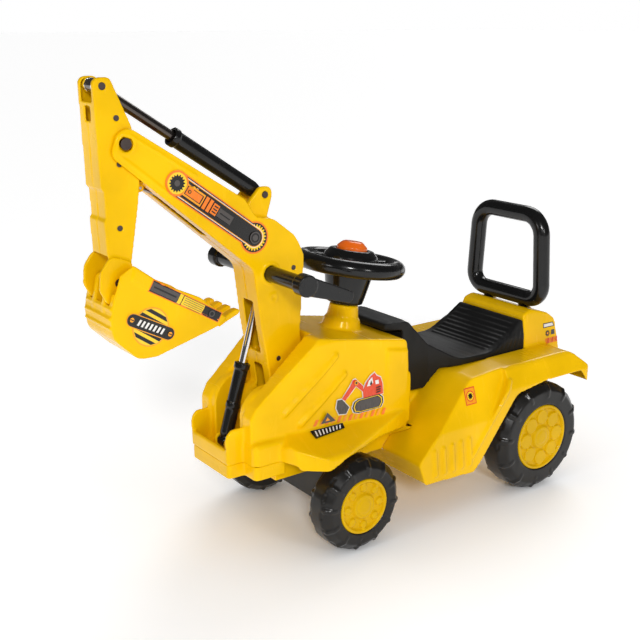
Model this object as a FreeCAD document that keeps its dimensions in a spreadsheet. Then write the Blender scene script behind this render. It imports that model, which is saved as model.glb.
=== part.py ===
"""Ride-on toy excavator.

Frame: the front of the toy faces -Y, its left side is +X and +Z is up. The origin lies on the
ground under the middle of the toy. All sizes are in millimetres.
"""
import FreeCAD, Part
import math
import os
import Sketcher
from FreeCAD import Placement, Rotation, Vector

doc = FreeCAD.newDocument("toy_excavator")

# ---------------------------------------------------------------- driving dimensions
SIZES = {
    # wheels
    "front_axle_y": -82, "front_tyre_r": 77, "front_tyre_w": 55, "front_tyre_in": 108,
    "front_rim_r": 46, "rear_axle_y": 318, "rear_tyre_r": 99, "rear_tyre_w": 63,
    "rear_tyre_in": 106, "rear_rim_r": 60, "axle_r": 5, "running_gap": 0.06, "tyre_wall": 6,
    # body shells
    "shell_wall": 3, "seam_z": 156, "band_z": 133, "floor_z": 113, "floor_wall": 4,
    "tub_half": 56, "slot_half": 50, "cheek_in": 36, "slot_floor_z": 160, "slot_back_y": -105,
    "base_half": 66, "rear_base_half": 98, "deck_z": 236,
    "tunnel_half": 60, "nose_half": 88, "seat_half": 86, "bin_half": 72,
    # steering
    "column_y": -8.3, "column_z": 316.4, "column_tilt": 9.7, "column_r": 6, "kingpin_y": -35,
    "kingpin_r": 8, "wheel_ring_r": 79, "wheel_tube_r": 14, "wheel_ring_up": 114,
    "hub_top_up": 138, "horn_r": 25.8, "beam_half": 98,
    # backrest
    "hoop_y": 386, "hoop_half": 82, "hoop_taper": 5, "hoop_low_z": 322, "hoop_high_z": 477, "hoop_r": 15,
    # boom
    "boom_y": -160, "boom_z": 220, "boom_half": 32, "boom_wall": 3, "boom_pin_r": 8,
    "elbow_y": -167.2, "elbow_z": 442.5, "crossbar_r": 12.5, "crossbar_half": 127,
    # stick and bucket
    "stick_y": -397.7, "stick_z": 655.3, "stick_half": 25.5, "stick_pin_r": 7,
    "head_y": -425.2, "head_z": 732.5, "cheek_half": 30, "bucket_y": -418, "bucket_z": 464,
    "bucket_half": 45, "bucket_wall": 3.5,
    # toy rams
    "low_ram_y": -238, "low_ram_z": 173, "low_rod_y": -170, "low_rod_z": 404,
    "low_barrel_r": 11, "low_barrel_long": 129, "low_rod_r": 6, "low_rod_long": 170,
    "high_ram_y": -168.7, "high_ram_z": 563.1, "high_barrel_r": 12.5,
    "high_barrel_long": 173, "high_rod_r": 7.5, "high_rod_long": 234, "ram_pin_r": 5,
    # pull rod between the stick and the lever crank
    "pull_y": -368, "pull_z": 590, "pull_pin_r": 2, "crank_long": 50, "crank_lead": 80,
}

sheet = doc.addObject("Spreadsheet::Sheet", "dims")
for row, (alias, size) in enumerate(SIZES.items(), start=1):
    sheet.set(f"A{row}", alias)
    sheet.set(f"B{row}", str(size))
    sheet.setAlias(f"B{row}", alias)
doc.recompute()

subparts = []


def dim(alias):
    """A driving dimension as a number."""
    return float(sheet.get(alias))


def keep(label, part):
    """Name a finished sub-part and put it on the list to be written."""
    part.Label = label
    subparts.append(part)
    return part


# ---------------------------------------------------------------- outlines and features
def outline(points):
    """Edges of a closed outline; a third number at a corner rounds it to that radius."""
    corners = []
    for index, point in enumerate(points):
        corner = Vector(point[0], point[1], 0)
        radius = point[2] if len(point) > 2 else 0
        if radius <= 0:
            corners.append((corner, None, corner))
            continue
        previous = points[index - 1]
        following = points[(index + 1) % len(points)]
        back = (Vector(previous[0], previous[1], 0) - corner).normalize()
        ahead = (Vector(following[0], following[1], 0) - corner).normalize()
        half = back.getAngle(ahead) / 2
        reach = radius / math.tan(half)
        inward = (back + ahead).normalize()
        middle = corner + inward * (radius / math.sin(half) - radius)
        corners.append((corner + back * reach, middle, corner + ahead * reach))
    edges = []
    for index, (start, middle, end) in enumerate(corners):
        if middle is not None:
            edges.append(Part.Arc(start, middle, end))
        after = corners[(index + 1) % len(corners)][0]
        if (after - end).Length > 1e-6:
            edges.append(Part.LineSegment(end, after))
    return edges


def circle(first, second, radius):
    """A circle as the one edge of an outline."""
    return [Part.Circle(Vector(first, second, 0), Vector(0, 0, 1), radius)]


def box(low_a, low_b, high_a, high_b, radius=0):
    """A rectangle, with rounded corners where a radius is given."""
    corners = [(low_a, low_b), (high_a, low_b), (high_a, high_b), (low_a, high_b)]
    return outline([(a, b, radius) for a, b in corners])


def mirrored(half):
    """A closed outline from its half on the positive first axis, listed from low to high."""
    other = [(-point[0], *point[1:]) for point in reversed(half)]
    return list(half) + other


def inset(points, depth):
    """The same outline moved inwards by a wall's thickness."""
    count = len(points)
    area = sum(
        points[i][0] * points[(i + 1) % count][1] - points[(i + 1) % count][0] * points[i][1]
        for i in range(count)
    )
    turn = 1 if area > 0 else -1
    moved = []
    for index, point in enumerate(points):
        here = Vector(point[0], point[1], 0)
        before = Vector(points[index - 1][0], points[index - 1][1], 0)
        after_point = points[(index + 1) % count]
        after = Vector(after_point[0], after_point[1], 0)
        along_in = (here - before).normalize()
        along_out = (after - here).normalize()
        normal_in = Vector(-along_in.y, along_in.x, 0) * turn
        normal_out = Vector(-along_out.y, along_out.x, 0) * turn
        bisector = normal_in + normal_out
        shift = bisector * (2 * depth / bisector.dot(bisector))
        hollow_corner = (along_in.cross(along_out)).z * turn < 0
        radius = point[2] if len(point) > 2 else 0
        if radius:
            radius = radius + depth if hollow_corner else max(radius - depth, 0)
        moved.append((here.x + shift.x, here.y + shift.y, radius))
    return moved


def opened_below(points, level, drop=40):
    """Push every corner below a level further down, so that a hollow breaks out underneath."""
    return [(a, b - drop if b < level else b, *rest) for a, b, *rest in points]


def new_body(name):
    """An empty PartDesign body."""
    return doc.addObject("PartDesign::Body", name)


def sketch_on(owner, role, edges, offset):
    """A sketch on one of the body's own origin planes, moved along the plane's normal."""
    sketch = owner.newObject("Sketcher::SketchObject", owner.Name + "_sketch")
    plane = next(item for item in owner.Origin.OriginFeatures if item.Role == role)
    sketch.AttachmentSupport = [(plane, "")]
    sketch.MapMode = "FlatFace"
    sketch.setExpression("AttachmentOffset.Base.z", str(offset))
    sketch.addGeometry(edges, False)
    return sketch


# For each view of an outline: its plane, and whether that plane's normal points to lower values.
VIEWS = {"side": ("YZ_Plane", False), "front": ("XZ_Plane", True), "top": ("XY_Plane", False)}


def add(owner, view, edges, low, high):
    """Pad an outline from one position to another along the view's direction."""
    role, backwards = VIEWS[view]
    offset = f"-({high})" if backwards else f"{low}"
    pad = owner.newObject("PartDesign::Pad", owner.Name + "_pad")
    pad.Profile = sketch_on(owner, role, edges, offset)
    pad.setExpression("Length", f"({high}) - ({low})")
    return pad


def take(owner, view, edges, low, high):
    """Pocket an outline out of the body between two positions."""
    role, backwards = VIEWS[view]
    offset = f"-({low})" if backwards else f"{high}"
    pocket = owner.newObject("PartDesign::Pocket", owner.Name + "_pocket")
    pocket.Profile = sketch_on(owner, role, edges, offset)
    pocket.setExpression("Length", f"({high}) - ({low})")
    return pocket


def turn(owner, role, edges, axis):
    """Revolve a profile about one axis of its sketch."""
    revolution = owner.newObject("PartDesign::Revolution", owner.Name + "_turn")
    sketch = sketch_on(owner, role, edges, 0)
    revolution.Profile = sketch
    revolution.ReferenceAxis = (sketch, [axis])
    revolution.Angle = 360
    return revolution


def repeat(owner, features, axis_role, count):
    """Repeat features round one of the body's own axes."""
    pattern = owner.newObject("PartDesign::PolarPattern", owner.Name + "_pattern")
    pattern.Originals = features
    axis = next(item for item in owner.Origin.OriginFeatures if item.Role == axis_role)
    pattern.Axis = (axis, [""])
    pattern.Angle = 360
    pattern.Occurrences = count
    owner.Tip = pattern
    return pattern


def place(item, x=None, y=None, z=None):
    """Bind an object's position to expressions."""
    for letter, expression in (("x", x), ("y", y), ("z", z)):
        if expression is not None:
            item.setExpression(f"Placement.Base.{letter}", str(expression))
    return item


def rod_x(name, radius, low, high, y, z):
    """A plain cylinder along X."""
    item = doc.addObject("Part::Cylinder", name)
    item.setExpression("Radius", str(radius))
    item.setExpression("Height", f"({high}) - ({low})")
    item.Placement = Placement(Vector(), Rotation(Vector(0, 1, 0), 90))
    return place(item, low, y, z)


def rod_z(name, radius, low, high, x, y):
    """A plain cylinder along Z."""
    item = doc.addObject("Part::Cylinder", name)
    item.setExpression("Radius", str(radius))
    item.setExpression("Height", f"({high}) - ({low})")
    return place(item, x, y, low)


def block(name, x0, x1, y0, y1, z0, z1):
    """A plain box between six positions."""
    item = doc.addObject("Part::Box", name)
    item.setExpression("Length", f"({x1}) - ({x0})")
    item.setExpression("Width", f"({y1}) - ({y0})")
    item.setExpression("Height", f"({z1}) - ({z0})")
    return place(item, x0, y0, z0)


def joined(name, parts):
    """Several overlapping shapes as one."""
    item = doc.addObject("Part::MultiFuse", name)
    item.Shapes = parts
    return item


def common(name, parts):
    """What several shapes share."""
    item = doc.addObject("Part::MultiCommon", name)
    item.Shapes = parts
    return item


def less(name, base, tool):
    """One shape with another cut away."""
    item = doc.addObject("Part::Cut", name)
    item.Base = base
    item.Tool = tool
    return item


def group(name, parts):
    """Separate solids that share one node."""
    item = doc.addObject("Part::Compound", name)
    item.Links = parts
    return item


def mirror_x(name, source):
    """The same piece on the other side of the toy."""
    item = doc.addObject("Part::Mirroring", name)
    item.Source = source
    item.Normal = Vector(1, 0, 0)
    return item


def form(name, side, front, plan):
    """What a side, a front and a top outline share: a body shape with three true views."""
    far = 600
    views = []
    for view, points in (("side", side), ("front", front), ("top", plan)):
        piece = new_body(f"{name}_{view}")
        add(piece, view, outline(points), -far, far)
        views.append(piece)
    return common(name, views)


# ---------------------------------------------------------------- wheels
HUB_RECESS_R = 16
HUB_RECESS_DEEP = 14
HUB_TUBE_R = 19
FACE_BACK = 9
FACE_FRONT = 5
LUGS = 16
BOSSES = 8


def make_tyre(label, end):
    """Hollow blow-moulded tyre, open towards the rim, with notched shoulders."""
    width = dim(f"{end}_tyre_w")
    radius = dim(f"{end}_tyre_r")
    bore = dim(f"{end}_rim_r")
    wall = dim("tyre_wall")
    shoulder = 13
    tyre = new_body(label)
    profile = [
        (0, bore), (0, radius - shoulder, 4), (shoulder, radius, 6),
        (width - shoulder, radius, 6), (width, radius - shoulder, 4), (width, bore),
        (width - wall, bore), (width - wall, radius - shoulder - 3, 3),
        (width - shoulder - 2, radius - wall, 3), (shoulder + 2, radius - wall, 3),
        (wall, radius - shoulder - 3, 3), (wall, bore),
    ]
    turn(tyre, "XY_Plane", outline(profile), "H_Axis")
    notches = []
    for low, high in ((-1, shoulder + 3), (width - shoulder - 3, width + 1)):
        notch = take(tyre, "top", box(low, radius - 3, high, radius + 2), "-7", "7")
        notches.append(notch)
    repeat(tyre, notches, "X_Axis", LUGS)
    return tyre


def make_rim(label, end):
    """Wheel centre: barrel in the tyre, dished face with a ring of bosses, hub on the axle."""
    width = dim(f"{end}_tyre_w")
    bore = dim("axle_r") + dim("running_gap")
    barrel = dim(f"{end}_rim_r") - 0.1
    inner_end = -8 if end == "front" else -4
    rim = new_body(label)
    profile = [
        (inner_end, bore), (inner_end, HUB_TUBE_R - 4), (6, HUB_TUBE_R), (width - FACE_BACK, HUB_TUBE_R),
        (width - FACE_BACK, barrel - 4), (2, barrel - 4), (2, barrel), (width + 0.5, barrel, 2),
        (width + 0.5, barrel - 5, 2), (width - FACE_FRONT, barrel - 7),
        (width - FACE_FRONT, HUB_TUBE_R + 3), (width, HUB_TUBE_R, 1.5),
        (width, HUB_RECESS_R), (width - HUB_RECESS_DEEP, HUB_RECESS_R),
        (width - HUB_RECESS_DEEP, bore),
    ]
    turn(rim, "XY_Plane", outline(profile), "H_Axis")
    ring = (barrel + HUB_TUBE_R) / 2 - 1
    size = (barrel - HUB_TUBE_R) / 2 - 7
    boss = add(rim, "side", circle(0, ring, size), f"{width - FACE_FRONT - 1}", f"{width - 1}")
    repeat(rim, [boss], "X_Axis", BOSSES)
    return rim


def make_wheel(end, side):
    """Tyre, rim and hub cap of one wheel, with the wheel's face turned outwards."""
    sign = 1 if side == "left" else -1
    width = dim(f"{end}_tyre_w")
    cap = new_body(f"hub_cap_{end}_{side}")
    cap_profile = [
        (width - 5, 0), (width - 5, HUB_RECESS_R - 0.1), (width - 1, HUB_RECESS_R - 0.1, 1),
        (width + 1, HUB_RECESS_R - 7, 2), (width + 1, 0),
    ]
    turn(cap, "XY_Plane", outline(cap_profile), "H_Axis")
    pieces = {
        f"tyre_{end}_{side}": make_tyre(f"tyre_{end}_{side}", end),
        f"rim_{end}_{side}": make_rim(f"rim_{end}_{side}", end),
        f"hub_cap_{end}_{side}": cap,
    }
    for label, piece in pieces.items():
        turned = 0 if sign > 0 else 180
        piece.Placement = Placement(Vector(), Rotation(Vector(0, 0, 1), turned))
        place(piece, f"{sign} * dims.{end}_tyre_in", f"dims.{end}_axle_y", f"dims.{end}_tyre_r")
        keep(label, piece)


def make_axle(end):
    """Steel axle rod and the two push nuts on its ends."""
    reach = f"(dims.{end}_tyre_in + dims.{end}_tyre_w - 9)"
    where = (f"dims.{end}_axle_y", f"dims.{end}_tyre_r")
    rod = rod_x(f"{end}_axle_rod", "dims.axle_r", f"-{reach}", reach, *where)
    keep(f"{end}_axle_rod", rod)
    nuts = []
    for sign in (1, -1):
        outer = f"{sign} * ({reach} - 1)"
        inner = f"{sign} * ({reach} - 4)"
        low, high = (inner, outer) if sign > 0 else (outer, inner)
        disc = rod_x(f"{end}_nut_disc", "9", low, high, *where)
        hole = rod_x(f"{end}_nut_hole", "dims.axle_r", f"{low} - 1", f"{high} + 1", *where)
        nuts.append(less(f"{end}_nut", disc, hole))
    keep(f"{end}_push_nuts", group(f"{end}_push_nuts", nuts))


for wheel_end in ("front", "rear"):
    for wheel_side in ("left", "right"):
        make_wheel(wheel_end, wheel_side)
    make_axle(wheel_end)


# ---------------------------------------------------------------- front axle beam and kingpin
def make_front_beam():
    """Hollow beam that carries the front axle and turns on the kingpin."""
    beam = new_body("front_axle_beam")
    half = dim("beam_half")
    axle_y = dim("front_axle_y")
    pin_y = dim("kingpin_y")
    front = axle_y - 15
    back = axle_y + 15
    top = 110
    profile = mirrored([(60, 50, 8), (half - 6, 42, 5), (half, 48, 3), (half, top, 6)])
    add(beam, "front", outline(profile), front, back)
    inner = mirrored([(half - 8, 40), (half - 8, top - 5, 4)])
    take(beam, "front", outline(inner), front + 4, back - 4)
    add(beam, "top", box(-24, back - 2, 24, pin_y + 21, 8), "84", str(top))
    take(beam, "top", circle(0, pin_y, dim("kingpin_r") + 0.02), "80", f"{top} + 1")
    bore = circle(axle_y, dim("front_tyre_r"), dim("axle_r") + 0.02)
    take(beam, "side", bore, f"-{half} - 1", f"{half} + 1")
    keep("front_axle_beam", beam)


def make_kingpin():
    """Pin through the chassis boss, with a slotted head that the steering column turns."""
    pin = new_body("kingpin")
    radius = dim("kingpin_r")
    pin_y = dim("kingpin_y")
    add(pin, "top", circle(0, pin_y, radius), "84", "153")
    add(pin, "top", circle(0, pin_y, 14), "152", "174")
    take(pin, "top", box(-4, pin_y - 20, 4, pin_y + 20), "157", "175")
    keep("kingpin", pin)


make_front_beam()
make_kingpin()


# ---------------------------------------------------------------- steering column and wheel
def on_column(item):
    """Stand a piece on the tilted steering axis, whose zero is where it leaves the hood."""
    item.Placement = Placement(Vector(), Rotation(Vector(1, 0, 0), -dim("column_tilt")))
    return place(item, 0, "dims.column_y", "dims.column_z")


def make_column():
    """Steel rod with a flat tongue that drops into the kingpin's slot."""
    column = new_body("steering_column")
    add(column, "top", circle(0, 0, dim("column_r")), "-142", "118")
    add(column, "top", box(-2.5, -9, 2.5, 9), "-158", "-140")
    keep("steering_column", on_column(column))


def make_steering_wheel():
    """Fat ring on three wide spokes, with a hub that holds the horn."""
    wheel = new_body("steering_wheel")
    bore = dim("column_r") + 0.02
    top = dim("hub_top_up")
    well = dim("horn_r") + 0.4
    hub = [(bore, 104), (40, 104, 3), (47, 113, 6), (45, 128, 8), (36, top, 3), (well, top),
           (well, 118.5), (bore, 118.5)]
    turn(wheel, "XZ_Plane", outline(hub), "V_Axis")
    ring = dim("wheel_ring_r")
    up = dim("wheel_ring_up")
    turn(wheel, "XZ_Plane", circle(ring, up, dim("wheel_tube_r")), "V_Axis")
    spoke = add(wheel, "front", box(-17, up - 6, 17, up + 8, 5), "36", f"{ring}")
    repeat(wheel, [spoke], "Z_Axis", 3)
    keep("steering_wheel", on_column(wheel))


def make_collar():
    """Tapered sleeve under the steering wheel."""
    collar = new_body("steering_collar")
    bore = dim("column_r") + 0.02
    profile = [(bore, 48), (30, 48, 2), (33, 60), (42, 103.5, 3), (bore, 103.5), (bore, 96),
               (36, 96), (27, 56), (bore, 56)]
    turn(collar, "XZ_Plane", outline(profile), "V_Axis")
    keep("steering_collar", on_column(collar))


def make_horn():
    """Sound module in the hub and the domed button that presses on it."""
    module = new_body("horn_module")
    add(module, "top", box(-17, -15, 17, 15, 3), "118.6", "131")
    keep("horn_module", on_column(module))
    button = new_body("horn_button")
    radius = dim("horn_r")
    profile = [(0, 134.5), (radius, 134.5, 1), (radius, 142, 4), (16, 151, 9), (0, 152)]
    turn(button, "XZ_Plane", outline(profile), "V_Axis")
    keep("horn_button", on_column(button))


def make_steering_bush():
    """Plastic bush in the top of the hood's cone."""
    bush = new_body("steering_bush")
    add(bush, "top", circle(0, 0, 10), "22", "46")
    take(bush, "top", circle(0, 0, dim("column_r") + dim("running_gap")), "21", "47")
    keep("steering_bush", on_column(bush))


make_column()
make_steering_wheel()
make_collar()
make_horn()
make_steering_bush()


# ---------------------------------------------------------------- front hood with the boom's tub
WALL = dim("shell_wall")
SEAM = dim("seam_z")
SLOT = dim("slot_half")
SLOT_BACK = dim("slot_back_y")
SLOT_FLOOR = dim("slot_floor_z")

HOOD_SIDE = [(-236, SEAM), (-236, 230, 8), (-226, 247, 12), (-115, 341, 14), (64, 309, 10),
             (66, 254), (72, 250, 4), (68, 165), (-180, 165), (-180, SEAM)]
HOOD_FRONT = mirrored([(96, SEAM), (88, 332, 6), (80, 350)])
HOOD_PLAN = mirrored([(75, -240), (80, -182), (89, -110), (94, 0), (94, 80)])

FENDER_SIDE = [(-192, SEAM), (-192, 178, 8), (-170, 200, 20), (14, 200, 20), (62, 184, 10),
               (62, 157), (-20, 166), (-108, 160, 10), (-138, 147, 8), (-174, 147, 6), (-180, SEAM)]
FENDER_FRONT = mirrored([(150, 130), (150, 168, 10), (84, 194)])
FENDER_PLAN = mirrored([(88, -192), (116, -182, 20), (150, -142, 26), (150, -108, 30),
                        (122, -20, 60), (94, 62)])

NOSE_SIDE = [(-238, SEAM), (-238, 192, 8), (-150, 192), (-150, SEAM)]
NOSE_FRONT = mirrored([(dim("nose_half"), 140), (dim("nose_half"), 192, 8)])
NOSE_PLAN = mirrored([(dim("nose_half"), -238, 10), (dim("nose_half"), -180)])

TUB_SIDE = [(-267, SEAM), (-269, 215, 18), (-178, 210), (-178, SEAM)]
TUB_FRONT = mirrored([(dim("tub_half"), 140), (dim("tub_half"), 216, 3)])
TUB_PLAN = mirrored([(dim("tub_half"), -270, 6), (dim("tub_half"), -178)])

RAM_LUG_R = 10
POSTS = ((72, -210), (50, 52))
POST_R = 6
SCREW_R = 1.9
SCREW_HEAD_R = 4
SCREW_HEAD_HIGH = 2.4
PILOT_DEEP = 16


def make_cheek(name, low, high):
    """One of the two rounded cheeks that hold the boom's pivot pin."""
    cheek = new_body(name)
    front = -233
    back = SLOT_BACK + 2
    foot = SLOT_FLOOR - 2
    points = [(front, foot), (front, 269, 48), (back, 269), (back, foot)]
    add(cheek, "side", outline(points), low, high)
    bore = dim("boom_pin_r") + 0.02
    take(cheek, "side", circle(dim("boom_y"), dim("boom_z"), bore), f"{low} - 1", f"{high} + 1")
    return cheek


def make_ram_lug(name, low, high):
    """Small ear on the tub's floor for the lower ram's pin."""
    lug = new_body(name)
    y = dim("low_ram_y")
    z = dim("low_ram_z")
    points = [(y - RAM_LUG_R, SLOT_FLOOR - 1), (y - RAM_LUG_R, z + RAM_LUG_R, RAM_LUG_R - 1),
              (y + RAM_LUG_R, z + RAM_LUG_R, RAM_LUG_R - 1), (y + RAM_LUG_R, SLOT_FLOOR - 1)]
    add(lug, "side", outline(points), low, high)
    take(lug, "side", circle(y, z, dim("ram_pin_r") + 0.02), f"{low} - 1", f"{high} + 1")
    return lug


def make_cone():
    """Two-step cone on the hood, round the steering column."""
    cone = new_body("hood_cone")
    profile = [(0, -8), (38, -8), (30, 22), (27, 24), (24, 46, 2), (0, 46)]
    turn(cone, "XZ_Plane", outline(profile), "V_Axis")
    return on_column(cone)


def post_foot(y):
    """Where a screw post stands, just above the base's floor."""
    floor = dim("band_z") if y < -180 else dim("floor_z")
    return floor + dim("floor_wall") + 0.2


def make_pilots(name, places):
    """Pilot holes for the base screws, up the middle of each post."""
    holes = []
    for sign in (1, -1):
        for x, y in places:
            foot = post_foot(y)
            holes.append(rod_z(name, SCREW_R + 0.1, foot - 1, foot + PILOT_DEEP, sign * x, y))
    return holes


def make_hood():
    """Front shell: hood, tub for the boom and fenders over the front wheels."""
    outer = joined("hood_outer", [
        form("hood_core", HOOD_SIDE, HOOD_FRONT, HOOD_PLAN),
        form("hood_fender", FENDER_SIDE, FENDER_FRONT, FENDER_PLAN),
        form("hood_nose", NOSE_SIDE, NOSE_FRONT, NOSE_PLAN),
        form("hood_tub", TUB_SIDE, TUB_FRONT, TUB_PLAN),
    ])
    level = 175
    hollow = joined("hood_hollow", [
        form("hood_core_in", opened_below(inset(HOOD_SIDE, WALL), level), inset(HOOD_FRONT, WALL),
             inset(HOOD_PLAN, WALL)),
        form("hood_fender_in", opened_below(inset(FENDER_SIDE, WALL), 170),
             opened_below(inset(FENDER_FRONT, WALL), 140), inset(FENDER_PLAN, WALL)),
        form("hood_nose_in", opened_below(inset(NOSE_SIDE, WALL), level),
             opened_below(inset(NOSE_FRONT, WALL), level), inset(NOSE_PLAN, WALL)),
    ])
    slot_skin = block("slot_skin", -SLOT - WALL, SLOT + WALL, -300, SLOT_BACK + WALL, SEAM - 60, 400)
    hollow = less("hood_void", hollow, slot_skin)
    slot = joined("hood_slot", [
        block("slot_space", -SLOT, SLOT, -262, SLOT_BACK, SLOT_FLOOR, 400),
        block("slot_mouth", -SLOT, SLOT, -300, -250, 180, 400),
        block("base_room", -dim("base_half") - 0.4, dim("base_half") + 0.4, -190, 75, 100, SEAM),
    ])
    shell = less("hood_slotted", less("hood_skin", outer, hollow), slot)
    cheek_in = dim("cheek_in")
    additions = [shell, make_cone()]
    for sign in (1, -1):
        edges = sorted((sign * cheek_in, sign * (SLOT + 1)))
        additions.append(make_cheek("cheek", *edges))
        additions.append(make_ram_lug("ram_lug", *sorted((sign * 11, sign * 18))))
        for x, y in POSTS:
            top = 190 if y < 0 else 309
            additions.append(rod_z("hood_post", POST_R, post_foot(y), top, sign * x, y))
    hood = joined("hood_with_bosses", additions)
    pilots = make_pilots("hood_pilots", POSTS)
    bore = rod_z("column_way", 10.02, -40, 60, 0, 0)
    on_column(bore)
    bore.setExpression("Placement.Base.z", "dims.column_z - 40 * cos(dims.column_tilt)")
    bore.setExpression("Placement.Base.y", "dims.column_y - 40 * sin(dims.column_tilt)")
    keep("front_hood", less("front_hood", hood, joined("hood_cuts", [bore, *pilots])))


# ---------------------------------------------------------------- rear body
BASE_PLAN = mirrored([(dim("base_half"), -186), (dim("base_half"), 50), (dim("rear_base_half"), 66),
                      (dim("rear_base_half"), 400, 8)])
REAR_SIDE = [(45, 78, 4), (156, 73, 8), (170, 86), (254, 193, 26), (330, 204, 60), (418, 204, 3),
             (438, 178, 2), (447, 180, 2), (446, 206, 30), (405, 240, 40), (250, 240), (160, 234, 40),
             (62, 152, 18), (30, 118, 8)]
REAR_FRONT = mirrored([(165, 40), (165, 204, 22), (146, 241, 14)])
REAR_PLAN = mirrored([(165, 20), (165, 438, 16), (150, 450, 30)])

SEAT_BLOCK_SIDE = [(350, 225), (350, 300, 10), (370, 308, 14), (413, 295, 12), (433, 281, 14),
                   (446, 205)]
SEAT_BLOCK_FRONT = mirrored([(90, 203), (78, 312, 14)])
SEAT_BLOCK_PLAN = mirrored([(90, 340), (90, 448, 14)])

OPEN_SIDE = [(33, 118, 5), (48, 74), (48, 20), (200, 20), (300, 100), (430, 100)]
DECK_MORE = 6
DECK_FROM = 230

TUNNEL_SIDE = [(76, 118), (76, 201, 6), (180, 201), (180, 118)]
TUNNEL_FRONT = mirrored([(dim("tunnel_half"), 100), (dim("tunnel_half"), 201, 8)])
TUNNEL_PLAN = mirrored([(dim("tunnel_half"), 70), (dim("tunnel_half"), 190)])

HOOP_FEET = 45
REAR_POSTS = ((52, 110), (80, 385))
BIN_Y = (172, 338)


def make_side_cut(name, sign):
    """What makes the side panel lean inwards ahead of the rear fender."""
    lean = [(sign * 175, 140), (sign * 168, 150), (sign * 138, 245), (sign * 175, 245)]
    prism = new_body(f"{name}_prism")
    add(prism, "front", outline(lean if sign > 0 else lean[::-1]), -100, 300)
    reach = new_body(f"{name}_reach")
    add(reach, "side", outline([(0, 60), (143, 100), (236, 221, 8), (236, 300), (0, 300)]), -200, 200)
    return common(name, [prism, reach])


def make_rear_body():
    """Rear shell: fenders, foot steps, seat deck and the block behind the seat."""
    outer = joined("rear_outer", [
        form("rear_core", REAR_SIDE, REAR_FRONT, REAR_PLAN),
        form("seat_block", SEAT_BLOCK_SIDE, SEAT_BLOCK_FRONT, SEAT_BLOCK_PLAN),
        form("tunnel", TUNNEL_SIDE, TUNNEL_FRONT, TUNNEL_PLAN),
    ])
    for sign in (1, -1):
        outer = less("rear_leaned", outer, make_side_cut("side_cut", sign))
    deck_side = inset(REAR_SIDE, WALL)[8:13]
    core_side = OPEN_SIDE + [(a, b - DECK_MORE if b > DECK_FROM else b, *rest) for a, b, *rest in deck_side]
    hollow = joined("rear_hollow", [
        form("rear_core_in", core_side, inset(REAR_FRONT, WALL), inset(REAR_PLAN, WALL)),
        form("seat_block_in", opened_below(inset(SEAT_BLOCK_SIDE, WALL), 240),
             opened_below(inset(SEAT_BLOCK_FRONT, WALL), 240), inset(SEAT_BLOCK_PLAN, WALL)),
        form("tunnel_in", opened_below(inset(TUNNEL_SIDE, WALL), 150),
             inset(TUNNEL_FRONT, WALL), inset(TUNNEL_PLAN, WALL)),
    ])
    for sign in (1, -1):
        edges = sorted((sign * 120, sign * 170))
        keep_skin = common("lean_skin", [
            block("lean_reach", *edges, 0, 300, 140, 300),
            make_lean_band("lean_band", sign),
        ])
        hollow = less("rear_hollow_leaned", hollow, keep_skin)
    base_room = new_body("rear_base_room")
    add(base_room, "top", outline(inset(BASE_PLAN, -0.4)), "dims.floor_z - 0.4", "dims.seam_z + 0.4")
    shell = less("rear_skin", less("rear_solid_skin", outer, hollow), base_room)
    additions = [shell]
    for sign in (1, -1):
        for x, y in REAR_POSTS:
            top = 199 if y < 200 else 238
            additions.append(rod_z("rear_post", POST_R, post_foot(y), top, sign * x, y))
        additions.append(rod_z("foot_boss", 14, 278, 303, sign * HOOP_FEET, dim("hoop_y")))
    body = joined("rear_with_bosses", additions)
    seat_room = block("seat_room", -88, 88, 150, 350, dim("deck_z"), 262)
    bin_room = block("bin_room", -dim("bin_half") - 1, dim("bin_half") + 1, *BIN_Y, 190, 262)
    cuts = [seat_room, bin_room, *make_pilots("rear_pilots", REAR_POSTS)]
    for sign in (1, -1):
        cuts.append(rod_z("foot_hole", 9.05, 282, 320, sign * HOOP_FEET, dim("hoop_y")))
        cuts.append(rod_z("foot_screw_hole", 3, 270, 290, sign * HOOP_FEET, dim("hoop_y")))
    keep("rear_body", less("rear_body", body, joined("rear_cuts", cuts)))


def make_lean_band(name, sign):
    """Skin left under the leaning side panel, and the step from it out to the fender."""
    points = [(sign * 180, 247), (sign * 180, 152), (sign * 158, 152), (sign * 128, 247)]
    band = new_body(name)
    add(band, "front", outline(points if sign > 0 else points[::-1]), -100, 300)
    limit = new_body(f"{name}_limit")
    add(limit, "side", outline([(0, 60), (147, 100), (240, 221, 8), (240, 300), (0, 300)]), -200, 200)
    return common(f"{name}_part", [band, limit])


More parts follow.
